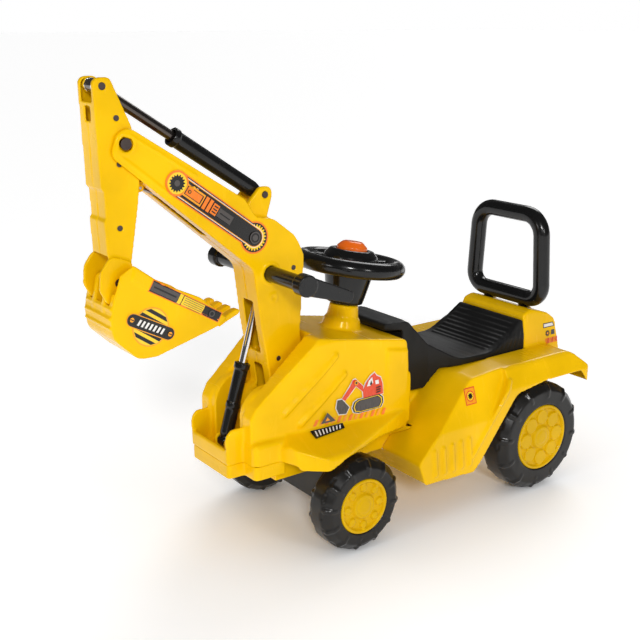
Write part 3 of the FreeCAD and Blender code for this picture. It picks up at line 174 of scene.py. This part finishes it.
INK_COLOURS = {
    "orange": (0.95, 0.22, 0.01), "black": (0.009, 0.008, 0.007), "yellow": (0.95, 0.62, 0.02),
    "white": (0.85, 0.82, 0.78), "grey": (0.075, 0.065, 0.06), "red": (0.78, 0.07, 0.02),
    "amber": (0.95, 0.36, 0.01),
}
INKS = {name: moulded(f"ink_{name}", colour, rough=0.25, coat=0.4, grain=1500, grain_deep=0.03)
        for name, colour in INK_COLOURS.items()}


# ---------------------------------------------------------------- geometry
BEAD_SIDES = 10
BEAD_TILT = (0.13, 0.2, 0.97)
DOME = ((0.9, 0.44), (0.5, 0.87))
RING_STEPS = 48
# Where rays start, and how close vertices are welded, in metres.
FAR_X = 0.4
ABOVE_Z = 0.5
WELD = 1e-6


def prism(mesh, outline, x_from, x_to):
    """Adds a closed prism along x; outline corners are (y, z), in mm."""
    lower = [mesh.verts.new((x_from * MM, y * MM, z * MM)) for y, z in outline]
    upper = [mesh.verts.new((x_to * MM, y * MM, z * MM)) for y, z in outline]
    faces = [mesh.faces.new(lower), mesh.faces.new(upper)]
    for i in range(len(outline)):
        j = (i + 1) % len(outline)
        faces.append(mesh.faces.new((lower[i], lower[j], upper[j], upper[i])))
    bmesh.ops.recalc_face_normals(mesh, faces=faces)


def bridge(mesh, first, second):
    """Joins two rings of vertices with a band of faces."""
    count = len(first)
    faces = []
    for step in range(count):
        after = (step + 1) % count
        faces.append(mesh.faces.new((first[step], first[after], second[after], second[step])))
    return faces


def bead(mesh, points, radius):
    """Adds a round bar along points (mm) with domed ends."""
    path = [Vector(p) * MM for p in points]
    rings = []
    reach = radius * MM
    last = len(path) - 1
    for index, spot in enumerate(path):
        ahead = (path[min(index + 1, last)] - path[max(index - 1, 0)]).normalized()
        side = ahead.cross(Vector(BEAD_TILT)).normalized()
        up = side.cross(ahead)
        slices = [(0, 1.0)]
        if index == 0:
            slices = [(-shift, share) for shift, share in DOME] + slices
        if index == last:
            slices = slices + list(reversed(DOME))
        for shift, share in slices:
            middle = spot + ahead * shift * reach
            loop = []
            for step in range(BEAD_SIDES):
                angle = 2 * math.pi * step / BEAD_SIDES
                spoke = side * math.cos(angle) + up * math.sin(angle)
                loop.append(mesh.verts.new(middle + spoke * reach * share))
            rings.append(loop)
    faces = [mesh.faces.new(rings[0]), mesh.faces.new(rings[-1])]
    for first, second in zip(rings, rings[1:]):
        faces += bridge(mesh, first, second)
    bmesh.ops.recalc_face_normals(mesh, faces=faces)


def ring(mesh, centre, inner, outer, x_from, x_to):
    """Adds a flat closed ring round the x direction, centred on a (y, z) place; all sizes in mm."""
    loops = []
    for radius, x in ((inner, x_from), (outer, x_from), (outer, x_to), (inner, x_to)):
        loop = []
        for step in range(RING_STEPS):
            angle = 2 * math.pi * step / RING_STEPS
            spot = (x, centre[0] + radius * math.cos(angle), centre[1] + radius * math.sin(angle))
            loop.append(mesh.verts.new([c * MM for c in spot]))
        loops.append(loop)
    faces = []
    for index in range(len(loops)):
        faces += bridge(mesh, loops[index], loops[(index + 1) % len(loops)])
    bmesh.ops.recalc_face_normals(mesh, faces=faces)


def ray_tree(thing):
    """Ray-casting tree over an object's mesh."""
    mesh = thing.data
    return BVHTree.FromPolygons([v.co for v in mesh.vertices], [p.vertices for p in mesh.polygons])


def side_point(tree, y, z, side, sink=0.0):
    """Where a ray from the toy's left (1) or right (-1) meets a surface, in mm."""
    hit = tree.ray_cast(Vector((side * FAR_X, y * MM, z * MM)), Vector((-side, 0, 0)))[0]
    return None if hit is None else (hit.x / MM - side * sink, y, z)


def along_side(tree, start, end, side, sink, steps=14):
    """Points on a side surface between two (y, z) places, in mm."""
    points = []
    for index in range(steps + 1):
        share = index / steps
        spot = side_point(tree, start[0] + (end[0] - start[0]) * share,
                          start[1] + (end[1] - start[1]) * share, side, sink)
        if spot:
            points.append(spot)
    return points


def shape(name, body, nodes, material, voxel, soften, extra=None):
    """A moulded piece in place of CAD nodes: their solids and extra ribs fused, then rounded over.

    The voxel size is in mm; soften is the number of smoothing rounds.
    """
    mesh = bmesh.new()
    for item in nodes:
        mesh.from_mesh(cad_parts[item].data)
    bmesh.ops.remove_doubles(mesh, verts=mesh.verts, dist=WELD)
    if extra:
        extra(mesh)
    data = bpy.data.meshes.new(name)
    mesh.to_mesh(data)
    mesh.free()
    piece = bpy.data.objects.new(name, data)
    bpy.context.scene.collection.objects.link(piece)
    fused = piece.modifiers.new("fuse", "REMESH")
    fused.mode = "VOXEL"
    fused.voxel_size = voxel * MM * COARSE
    fused.use_smooth_shade = True
    soft = piece.modifiers.new("soften", "SMOOTH")
    soft.factor = 0.5
    soft.iterations = soften
    graph = bpy.context.evaluated_depsgraph_get()
    done = bpy.data.meshes.new_from_object(piece.evaluated_get(graph))
    piece.modifiers.clear()
    piece.data = done
    for polygon in done.polygons:
        polygon.use_smooth = True
    done.materials.clear()
    done.materials.append(material)
    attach(piece, body)
    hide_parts(*nodes)


def dress(names, material):
    """Gives CAD nodes kept as they are their finish."""
    for name in names:
        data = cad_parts[name].data
        data.materials.clear()
        data.materials.append(material)


# ---------------------------------------------------------------- body shells
HOOD = ray_tree(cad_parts["front_hood"])
REAR = ray_tree(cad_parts["rear_body"])
SADDLE = ray_tree(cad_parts["seat_lid"])


def hood_details(mesh):
    """Two slanted ribs and a raised panel on each side of the hood."""
    ribs = (((-85, 309), (-178, 229)), ((-69, 276), (-150, 207)))
    panel = [(19, 184), (63, 178), (63, 292), (19, 300)]
    for side in LABELS:
        for start, end in ribs:
            bead(mesh, along_side(HOOD, start, end, side, sink=-0.4, steps=24), radius=5.0)
        spot = side_point(HOOD, 40, 240, side)[0]
        prism(mesh, panel, *sorted((spot - side * 3, spot + side * 1.8)))


def rear_details(mesh):
    """Louvres on the foot step and a ridge along the fender, on each side."""
    for side in LABELS:
        for index in range(5):
            y = 64 + index * 19.5
            bead(mesh, along_side(REAR, (y + 2.5, 92), (y - 2, 134 + index), side, sink=0.6), radius=4.8)
        bead(mesh, along_side(REAR, (149, 104), (239, 219), side, sink=-0.2, steps=20), radius=4.4)


shape("hood_shell", "chassis", ["front_hood"], YELLOW, voxel=2.0, soften=7, extra=hood_details)
shape("rear_shell", "chassis", ["rear_body"], YELLOW, voxel=2.0, soften=7, extra=rear_details)
shape("base_shell", "chassis", ["chassis_base"], YELLOW, voxel=2.0, soften=5)


# ---------------------------------------------------------------- arm
BOOM_X = 32
ELBOW = (-397.7, 655.3)
LOWER_BOSS = (-163, 404)


def boom_details(side):
    """Rings and raised rims on one half of the boom."""
    elbow_rim = [(-292, 603), (-345, 637), (-388, 664), (-402, 668), (-411, 660), (-413, 647),
                 (-405, 637), (-370, 609), (-338, 583)]
    bracket = [(-318, 617), (-337, 606), (-341, 592), (-332, 578)]

    def build(mesh):
        face = side * BOOM_X
        low, high = sorted((face - side * 1.5, face + side * 1.4))
        ring(mesh, ELBOW, 11.4, 14.2, low, high)
        ring(mesh, LOWER_BOSS, 4.4, 7.4, low, high)
        bead(mesh, [(face - side * 0.4, y, z) for y, z in elbow_rim], radius=2.0)
        bead(mesh, [(face - side * 0.6, y, z) for y, z in bracket], radius=1.8)
    return build


def bucket_details(mesh):
    """Raised side bands and three ribs across the back of the scoop."""
    band = [(-400, 487), (-361, 458), (-299, 428), (-257, 391), (-268, 383), (-308, 412), (-366, 440),
            (-407, 470)]
    for side in LABELS:
        prism(mesh, band, *sorted((side * 44, side * 47.2)))
    for y, z in ((-441, 404), (-441, 418), (-438, 431)):
        bead(mesh, [(-40, y, z), (0, y, z), (40, y, z)], radius=2.2)


for side, label in LABELS.items():
    shape(f"boom_{label}", "boom", [f"boom_{label}_shell"], YELLOW, voxel=1.6, soften=5,
          extra=boom_details(side))
    shape(f"stick_{label}", "stick", [f"stick_{label}_shell"], YELLOW, voxel=1.5, soften=5)
shape("bucket_scoop", "bucket", ["bucket"], YELLOW, voxel=1.5, soften=5, extra=bucket_details)
shape("lower_barrel_tube", "lower_barrel", ["lower_ram_barrel"], BLACK, voxel=1.1, soften=4)
shape("upper_barrel_tube", "upper_barrel", ["upper_ram_barrel"], BLACK, voxel=1.2, soften=4)
shape("lever_bar_set", "lever_bar", ["crossbar", "left_lever", "right_lever"], BLACK, voxel=1.4, soften=6)


# ---------------------------------------------------------------- wheels
LUGS = 12
LUG_R = 5.0


def tyre_lugs(name, outer):
    """Rounded lugs over both shoulders of a tyre; outer is the side that faces away from the toy."""
    low, high = [[c / MM for c in corner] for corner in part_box(name)]
    mid_y, mid_z = (low[1] + high[1]) / 2, (low[2] + high[2]) / 2
    radius = (high[2] - low[2]) / 2
    # Each place is a depth from the tyre's side and a distance from its axis.
    inner_path = [(6.0, radius - 13), (9.5, radius - LUG_R), (23, radius - LUG_R)]
    outer_path = [(3.2, radius - 22), (3.2, radius - 13)] + inner_path[1:]

    def build(mesh):
        for side in LABELS:
            edge = high[0] if side > 0 else low[0]
            path = outer_path if side == outer else inner_path
            for index in range(LUGS):
                angle = 2 * math.pi * (index + 0.25 * side) / LUGS
                bead(mesh, [(edge - side * depth, mid_y + r * math.sin(angle), mid_z + r * math.cos(angle))
                            for depth, r in path], LUG_R)
    return build


for end, voxel in (("front", 1.7), ("rear", 1.9)):
    for side, label in LABELS.items():
        body = f"{end}_{label}_wheel"
        tyre = f"tyre_{end}_{label}"
        shape(f"tread_{end}_{label}", body, [tyre], TYRE, voxel, soften=3, extra=tyre_lugs(tyre, side))
        shape(f"wheel_centre_{end}_{label}", body, [f"rim_{end}_{label}", f"hub_cap_{end}_{label}"], RIM,
              voxel=1.4, soften=4)


# ---------------------------------------------------------------- steering and seat
def across_seat(y, reach):
    """Points across the saddle at one y, just under its surface, in mm."""
    points = []
    steps = 40
    for index in range(steps + 1):
        x = -reach + 2 * reach * index / steps
        hit = SADDLE.ray_cast(Vector((x * MM, y * MM, ABOVE_Z)), Vector((0, 0, -1)))[0]
        if hit is not None:
            points.append((x, y, hit.z / MM - 1.0))
    return points


def seat_details(mesh):
    """Ribs over the saddle's nose, over its raised back and down its sides."""
    for index in range(7):
        bead(mesh, across_seat(84 + index * 8.5, 52 + index * 2), radius=2.6)
    for index in range(8):
        bead(mesh, across_seat(266 + index * 9.3, 70), radius=2.9)
    for side in LABELS:
        for index in range(6):
            y = 276 + index * 11.5
            rib = along_side(SADDLE, (y - 4, 244), (y + 3, 250 + index * 4.5), side, sink=0.9, steps=8)
            bead(mesh, rib, radius=2.4)


shape("steering_ring", "steering", ["steering_wheel"], BLACK, voxel=1.7, soften=6)
shape("steering_skirt", "steering", ["steering_collar"], BLACK, voxel=1.5, soften=4)
shape("horn_dome", "horn", ["horn_button"], ORANGE, voxel=1.0, soften=4)
shape("backrest_hoop", "chassis", ["backrest_frame"], BLACK, voxel=1.8, soften=5)
shape("saddle", "seat", ["seat_lid"], SEAT, voxel=1.8, soften=4, extra=seat_details)

dress(("storage_bin", "steering_bush", "lever_crank", "front_axle_beam", "kingpin", "boom_pivot_pin",
       "horn_module"), MATTE)
dress(("lower_ram_rod", "head_spacers"), CHROME)
dress(("upper_ram_rod",), GUNMETAL)
dress(("front_axle_rod", "rear_axle_rod", "front_push_nuts", "rear_push_nuts", "steering_column",
       "pull_rod", "pull_rod_pin", "base_screws", "backrest_screws"), STEEL)
dress(("boom_screws", "stick_screws", "stick_pivot_pin", "upper_ram_pin", "lower_rod_pin",
       "lower_ram_pin", "stick_head_pin", "bucket_pin"), SCREW)


# ---------------------------------------------------------------- sticker outlines
def disc(a, b, radius):
    """A round outline."""
    steps = 40
    return [(a + radius * math.cos(2 * math.pi * i / steps), b + radius * math.sin(2 * math.pi * i / steps))
            for i in range(steps)]


def gear(a, b, root, tip, teeth):
    """A toothed outline."""
    points = []
    for index in range(teeth):
        for share, radius in ((0.0, root), (0.25, tip), (0.5, tip), (0.75, root)):
            angle = 2 * math.pi * (index + share) / teeth
            points.append((a + radius * math.cos(angle), b + radius * math.sin(angle)))
    return points


def capsule(a0, a1, radius):
    """Two half circles joined by straight edges, along the first axis."""
    steps = 16
    points = []
    for middle, start in ((a0, math.pi / 2), (a1, -math.pi / 2)):
        for index in range(steps + 1):
            angle = start + math.pi * index / steps
            points.append((middle + radius * math.cos(angle), radius * math.sin(angle)))
    return points


def rect(half_a, half_b):
    """An upright rectangle round the origin."""
    return [(-half_a, -half_b), (half_a, -half_b), (half_a, half_b), (-half_a, half_b)]


def grown(outline, by):
    """An outline pushed away from its middle by a few millimetres."""
    middle = Vector((sum(a for a, _ in outline), sum(b for _, b in outline))) / len(outline)
    moved = []
    for corner in outline:
        arm = Vector(corner) - middle
        moved.append(tuple(middle + arm * (1 + by / arm.length)))
    return moved


def turned(points, degrees):
    """Points turned round the origin."""
    c, s = math.cos(math.radians(degrees)), math.sin(math.radians(degrees))
    return [(p * c - q * s, p * s + q * c) for p, q in points]


# ---------------------------------------------------------------- stickers
class Sticker:
    """Flat print on one side of a piece: shapes in its own plane, in mm, each in one ink.

    The plane's first axis runs rightwards as seen from that side. The sticker's line starts at a place
    on that axis and heads along a (y, z) direction, which is rightwards on the toy's left side only.
    """

    MAX_EDGE = 7
    FIRST_LIFT = 0.25
    LAYER_LIFT = 0.12
    # In metres: how far out the search for the surface starts, and how far off it may be.
    START_OUT = 0.04
    MAX_DROP = 0.03

    def __init__(self, name, body, piece, side, origin, line=(1, 0), line_start=0.0):
        self.name, self.body = f"{name}_{LABELS[side]}", body
        self.side, self.line_start = side, line_start
        self.tree = ray_tree(bpy.data.objects[piece])
        self.origin = Vector(origin)
        self.right = Vector((0, *line)).normalized() * side
        self.up = Vector((side, 0, 0)).cross(self.right)
        self.out = self.right.cross(self.up).normalized()
        self.mesh = bmesh.new()
        self.inks = []
        self.layer = 0

    def fill(self, ink, outline):
        """One printed shape, over the ones before it."""
        if ink not in self.inks:
            self.inks.append(ink)
        self.layer += 1
        flat = [Vector((a, b, 0)) for a, b in outline]
        piece = bmesh.new()
        verts = [piece.verts.new(p) for p in flat]
        for triangle in tessellate_polygon([flat]):
            piece.faces.new([verts[i] for i in triangle])
        for _ in range(4):
            long_edges = [e for e in piece.edges if e.calc_length() > self.MAX_EDGE]
            if not long_edges:
                break
            bmesh.ops.subdivide_edges(piece, edges=long_edges, cuts=1)
            bmesh.ops.triangulate(piece, faces=piece.faces)
        lift = self.FIRST_LIFT + self.LAYER_LIFT * self.layer
        made = {}
        for vert in piece.verts:
            made[vert] = self.mesh.verts.new(self.settle(vert.co.x, vert.co.y, lift))
        for face in piece.faces:
            new = self.mesh.faces.new([made[v] for v in face.verts])
            new.material_index = self.inks.index(ink)
            new.smooth = True
        piece.free()
        return self

    def on_line(self, ink, points):
        """A shape given by distances along the sticker's line and across it."""
        return self.fill(ink, [(self.line_start + self.side * a, b) for a, b in points][::self.side])

    def bar(self, ink, start, end, half, shift=0.0, taper=0.0):
        """A bar along the sticker's line; taper pinches its far end."""
        return self.on_line(ink, [(start, shift - half), (end, shift - half + taper),
                                  (end, shift + half - taper), (start, shift + half)])

    def at(self, ink, points):
        """A shape given by the toy's own (y, z)."""
        return self.on_line(ink, [(y - self.origin.y, z - self.origin.z) for y, z in points])

    def settle(self, a, b, lift):
        """The spot on the piece under a place on the sticker."""
        spot = (self.origin + self.right * a + self.up * b) * MM
        hit = self.tree.ray_cast(spot + self.out * self.START_OUT, -self.out)[0]
        ground = hit if hit is not None and (hit - spot).length < self.MAX_DROP else spot
        return ground + self.out * lift * MM

    def stick(self):
        """Finishes the sticker as one piece."""
        bmesh.ops.recalc_face_normals(self.mesh, faces=self.mesh.faces)
        data = bpy.data.meshes.new(self.name)
        for face in self.mesh.faces:
            if face.normal.dot(self.out) < 0:
                face.normal_flip()
        self.mesh.to_mesh(data)
        self.mesh.free()
        piece = bpy.data.objects.new(self.name, data)
        bpy.context.scene.collection.objects.link(piece)
        for ink in self.inks:
            data.materials.append(INKS[ink])
        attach(piece, self.body)


def boom_sticker(side):
    """Belt graphic with a gear at one end, a toothed wheel at the other and a ram between them."""
    upper, lower = Vector((side * BOOM_X, -323.6, 595.8)), Vector((side * BOOM_X, -196.3, 502.5))
    line = lower - upper
    origin, near, far = (upper, 0, line.length) if side > 0 else (lower, line.length, 0)
    sticker = Sticker("boom_sticker", "boom", f"boom_{LABELS[side]}", side, origin, line.yz, near)

    def belt(radius):
        return capsule(0, line.length, radius)

    sticker.fill("orange", belt(18.5)).fill("orange", disc(far, 0, 25))
    sticker.fill("black", disc(far, 0, 22.4)).fill("black", belt(16.6))
    sticker.fill("yellow", gear(far, 0, 17.2, 20.4, 24)).fill("white", belt(15.2))
    sticker.fill("amber", belt(14.4)).fill("black", belt(13.2))
    sticker.fill("orange", disc(near, 0, 18.5)).fill("yellow", disc(near, 0, 15.6))
    sticker.fill("black", gear(near, 0, 10.4, 12.8, 16)).fill("grey", disc(near, 0, 4.4))
    for ink, start, end, half in (("amber", 15, 50, 9.4), ("black", 17, 48, 6.6), ("orange", 18.5, 46, 5.6),
                                  ("orange", 52, 58, 9.6), ("orange", 60, 66, 9.6),
                                  ("orange", 68, 79, 8.2), ("grey", 80, 108, 6.6), ("black", 84, 104, 1.0)):
        sticker.bar(ink, start, end, half)
    for shift in (-4.4, 0, 4.4):
        sticker.bar("black", 70, 77.5, 0.9, shift)
    for ink, radius in (("grey", 9.2), ("black", 7.4), ("grey", 4.6)):
        sticker.fill(ink, disc(far, 0, radius))
    knob = near + side * 23
    sticker.fill("black", disc(knob, 0, 2.6)).fill("amber", disc(knob, 0, 1.3))
    sticker.stick()


def bucket_disc(side):
    """Striped disc with a slanted plate across it."""
    radius = 26.5
    half = 2.6
    sticker = Sticker("bucket_disc", "bucket", "bucket_scoop", side, (side * 45, -381, 398))
    sticker.fill("amber", disc(0, 0, 29)).fill("yellow", disc(0, 0, 27))
    for middle in (-20, -10, 0, 10, 20):
        low, high = middle - half, middle + half
        low_reach, high_reach = (math.sqrt(radius ** 2 - offset ** 2) for offset in (low, high))
        stripe = [(low, -low_reach), (high, -high_reach), (high, high_reach), (low, low_reach)]
        sticker.fill("black", turned(stripe, 55))
    plate = -28 * side
    sticker.fill("amber", turned(capsule(-31, 31, 10.2), plate))
    sticker.fill("black", turned(capsule(-31, 31, 9), plate))
    for index in range(7):
        a = -22.5 + index * 6.6
        sticker.fill("white", turned([(a, -4.6), (a + 3.4, -4.6), (a + 5.2, 4.6), (a + 1.8, 4.6)], plate))
    for a in (-33, 33):
        sticker.fill("amber", turned(disc(a, 0, 3.4), plate))
        sticker.fill("black", turned([(a - 3, -0.7), (a + 3, -0.7), (a + 3, 0.7), (a - 3, 0.7)], plate))
    sticker.stick()


def bucket_band(side):
    """Ram graphic along the scoop's raised band."""
    upper, lower = Vector((side * 47.2, -379, 459)), Vector((side * 47.2, -268, 393))
    line = lower - upper
    full = line.length
    sticker = Sticker("bucket_band", "bucket", "bucket_scoop", side, (upper + lower) / 2, line.yz,
                      -side * full / 2)
    sticker.bar("orange", 0, full, 9.6, taper=1.5)
    sticker.bar("black", 1.5, full - 1.5, 8.2, taper=1.2)
    for ink, start, end, half in (("grey", 1.5, 50, 6.4), ("black", 6, 46, 1.2), ("yellow", 50, 56, 7.4),
                                  ("yellow", 57.5, 96, 6.8)):
        sticker.bar(ink, start, end, half)
    for shift in (-4.4, -1.5, 1.5, 4.4):
        sticker.bar("grey", 60, 94, 0.35, shift)
    eye = side * (full / 2 - 17)
    sticker.fill("grey", disc(eye, 0, 5)).fill("black", disc(eye, 0, 3))
    sticker.stick()


def hood_sticker(side):
    """Small digger picture over hazard stripes and a striped bar."""
    sticker = Sticker("hood_sticker", "chassis", "hood_shell", side, (side * 90, -50, 225))
    for index in range(13):
        y = -128 + index * 11
        foot = 199 - index * 0.6
        sticker.at("amber" if index % 2 else "orange",
                   [(y, foot), (y + 6, foot), (y + 11, foot + 10), (y + 5, foot + 10)])
    cab = [(-33, 229), (-34, 242), (-27, 254), (-17, 263), (-9, 267), (-5, 261), (3, 257), (7, 246),
           (8, 228)]
    stick = [(-49, 264), (-43, 257), (-55, 245), (-69, 231), (-75, 236), (-60, 253), (-54, 263)]
    boom = [(-47, 263), (-33, 249), (-33, 239), (-50, 254)]
    scoop = [(-84, 235), (-75, 235), (-61, 219), (-67, 209), (-81, 211), (-86, 222)]
    tracks = [(-55, 216), (-52, 225), (-44, 229), (0, 229), (7, 223), (8, 214), (3, 206), (-42, 205),
              (-52, 208)]
    for part in (cab, stick, boom, scoop, tracks):
        sticker.at("white", grown(part, 1.7))
    for ink, part in (("red", stick), ("red", boom), ("red", cab), ("grey", scoop), ("black", tracks)):
        sticker.at(ink, part)
    for ink, by in (("yellow", -2.6), ("black", -4.6), ("grey", -6.2)):
        sticker.at(ink, grown(tracks, by))
    sticker.at("white", [(-26, 247), (-22, 256), (-15, 261), (-13, 251), (-19, 247)])
    sticker.at("white", [(-9, 254), (-2, 254), (-1, 247), (-8, 247)])
    sticker.at("black", [(-20, 250), (-17, 256), (-15, 250), (-18, 247)])
    for z in (232, 236, 240):
        sticker.at("black", [(-7, z), (2, z + 1), (2, z + 3), (-7, z + 2)])
    sticker.fill("amber", disc(side * 2, 33, 4)).fill("black", disc(side * 2, 33, 2))
    sticker.at("black", [(-136, 187), (-75, 189), (-75, 196), (-136, 195)])
    for index in range(8):
        y = -131 + index * 6.6
        foot, head = index * 0.2, 193.6 + index * 0.1
        sticker.at("white", [(y, 188.4 + foot), (y + 2.6, 188.5 + foot), (y + 5, head), (y + 2.4, head)])
    sticker.at("grey", [(-117, 203), (-89, 203), (-105, 220)])
    sticker.at("amber", [(-109, 206), (-100, 206), (-105, 212)])
    sticker.stick()


def block_sticker(side):
    """White plate, gear, tile and hazard stripes on the block behind the seat."""
    sticker = Sticker("block_sticker", "chassis", "rear_shell", side, (side * 84, 402, 262))
    sticker.at("black", [(401, 267), (431, 267), (427, 275.5), (401, 276)])
    sticker.at("white", [(402.5, 268.6), (428.5, 268.4), (425.6, 274), (402.5, 274.4)])
    gear_at = (side * 10, -6)
    sticker.fill("black", gear(*gear_at, 4.4, 6.0, 10)).fill("amber", disc(*gear_at, 2.2))
    sticker.at("grey", [(421, 252), (431, 252), (430, 261), (422, 261)])
    for index in range(6):
        y = 404 + index * 5.6
        sticker.at("red" if index % 2 else "orange", [(y, 237), (y + 4, 237), (y + 6, 247), (y + 2, 247)])
    sticker.stick()


def panel_sticker(side):
    """Framed gear on the rear side panel."""
    sticker = Sticker("panel_sticker", "chassis", "rear_shell", side, (side * 146, 153, 208))
    sticker.fill("red", rect(12, 14)).fill("amber", rect(10.4, 12.4)).fill("red", disc(0, 0, 9))
    sticker.fill("yellow", disc(0, 0, 7.2)).fill("black", gear(0, 0, 3.8, 5.4, 10))
    sticker.stick()


for side in LABELS:
    boom_sticker(side)
    bucket_disc(side)
    bucket_band(side)
    hood_sticker(side)
    block_sticker(side)
    panel_sticker(side)


# ---------------------------------------------------------------- stage, light, camera
FLOOR_REACH = 60.0
FLOOR_WHITE = 0.97
FLOOR_GLOW = 0.36
SHADE_RANGE = (0.1, 0.97)
SKY_DIFFUSE = 0.36
SKY_GLOSSY = 0.08
LIGHT_TARGET = (0, 0, 0.3)
LAMP_SIZE = 0.4
FOCAL_PIXELS = 1037.44
FRAME_PIXELS = 640
SENSOR = 36
CAMERA_PLACE = (1.32654, -1.01930, 0.81864)
CAMERA_TURN, CAMERA_PITCH = 0.940, 0.283


def floor_glow_painted_shadow():
    """Pale floor with a soft glow that fades under the toy into a painted shadow, made by ambient
    occlusion.
    """
    material = bpy.data.materials.new("floor_white")
    material.use_nodes = True
    tree = material.node_tree
    shader = tree.nodes["Principled BSDF"]
    drift = node(tree, "ShaderNodeTexNoise", Scale=3.0, Detail=2.0)
    tint = mix(tree, drift.outputs["Fac"], (*[FLOOR_WHITE * 0.99] * 3, 1), (*[FLOOR_WHITE] * 3, 1))
    # Painted shadow: ambient occlusion cuts the floor's glow where the toy hides it, darkening the floor
    # under and around the toy.
    shade = node(tree, "ShaderNodeAmbientOcclusion", samples=8, Distance=0.45)
    lit = node(tree, "ShaderNodeMath", operation="MULTIPLY")
    tree.links.new(ramp(tree, shade.outputs["AO"], SHADE_RANGE), lit.inputs[0])
    lit.inputs[1].default_value = FLOOR_GLOW
    tree.links.new(tint, shader.inputs["Base Color"])
    tree.links.new(tint, shader.inputs["Emission Color"])
    tree.links.new(lit.outputs[0], shader.inputs["Emission Strength"])
    shader.inputs["Roughness"].default_value = 0.7
    shader.inputs["Specular IOR Level"].default_value = 0.1
    return material


def lay_floor():
    """Large plane just under the wheels."""
    data = bpy.data.meshes.new("floor")
    corners = [(x * FLOOR_REACH, y * FLOOR_REACH, 0) for x, y in ((-1, -1), (1, -1), (1, 1), (-1, 1))]
    data.from_pydata(corners, [], [(0, 1, 2, 3)])
    data.materials.append(floor_glow_painted_shadow())
    floor = bpy.data.objects.new("floor", data)
    floor.location.z = -0.0005
    bpy.context.scene.collection.objects.link(floor)


def lamp(name, kind, power, place, towards):
    """A lamp at a place, shining along a direction."""
    data = bpy.data.lights.new(name, kind)
    data.energy = power
    made = bpy.data.objects.new(name, data)
    made.location = place
    made.rotation_euler = Vector(towards).to_track_quat("-Z", "Y").to_euler()
    bpy.context.scene.collection.objects.link(made)
    return data


def area_light(name, place, power):
    """Small square lamp aimed at the toy."""
    lamp(name, "AREA", power, place, Vector(LIGHT_TARGET) - Vector(place)).size = LAMP_SIZE


def sun(name, azimuth, height, power, soft):
    """A far lamp seen at an azimuth (0 is the front, 90 the left side) and a height, in degrees."""
    turn, lift = math.radians(azimuth), math.radians(height)
    seen_at = Vector((math.sin(turn) * math.cos(lift), -math.cos(turn) * math.cos(lift), math.sin(lift)))
    lamp(name, "SUN", power, (0, 0, 0), -seen_at).angle = math.radians(soft)


def studio_sky():
    """White surround: full for the camera, weaker as light and weakest in reflections."""
    world = bpy.data.worlds.new("studio")
    bpy.context.scene.world = world
    world.use_nodes = True
    tree = world.node_tree
    background = tree.nodes["Background"]
    background.inputs["Color"].default_value = (1, 1, 1, 1)
    rays = node(tree, "ShaderNodeLightPath")
    glossy = node(tree, "ShaderNodeMath", operation="MULTIPLY_ADD")
    tree.links.new(rays.outputs["Is Glossy Ray"], glossy.inputs[0])
    glossy.inputs[1].default_value = SKY_GLOSSY - SKY_DIFFUSE
    glossy.inputs[2].default_value = SKY_DIFFUSE
    seen = node(tree, "ShaderNodeMath", operation="MAXIMUM")
    tree.links.new(rays.outputs["Is Camera Ray"], seen.inputs[0])
    tree.links.new(glossy.outputs[0], seen.inputs[1])
    tree.links.new(seen.outputs[0], background.inputs["Strength"])


def place_camera():
    """Camera at the photo's angle."""
    data = bpy.data.cameras.new("camera")
    data.sensor_width = SENSOR
    data.lens = FOCAL_PIXELS / FRAME_PIXELS * SENSOR
    camera = bpy.data.objects.new("camera", data)
    camera.location = CAMERA_PLACE
    flat = math.cos(CAMERA_PITCH)
    forward = Vector((-math.sin(CAMERA_TURN) * flat, math.cos(CAMERA_TURN) * flat, -math.sin(CAMERA_PITCH)))
    camera.rotation_euler = forward.to_track_quat("-Z", "Y").to_euler()
    bpy.context.scene.collection.objects.link(camera)
    bpy.context.scene.camera = camera


lay_floor()
sun("key", 57, 27, 1.2, 10)
sun("rear_fill", 215, 38, 0.8, 30)
area_light("strip_left", (2.2, 0.1, 1.1), 6)
area_light("strip_front", (0.4, -2.2, 1.2), 4)
studio_sky()
bpy.context.scene.view_settings.view_transform = "Standard"
place_camera()
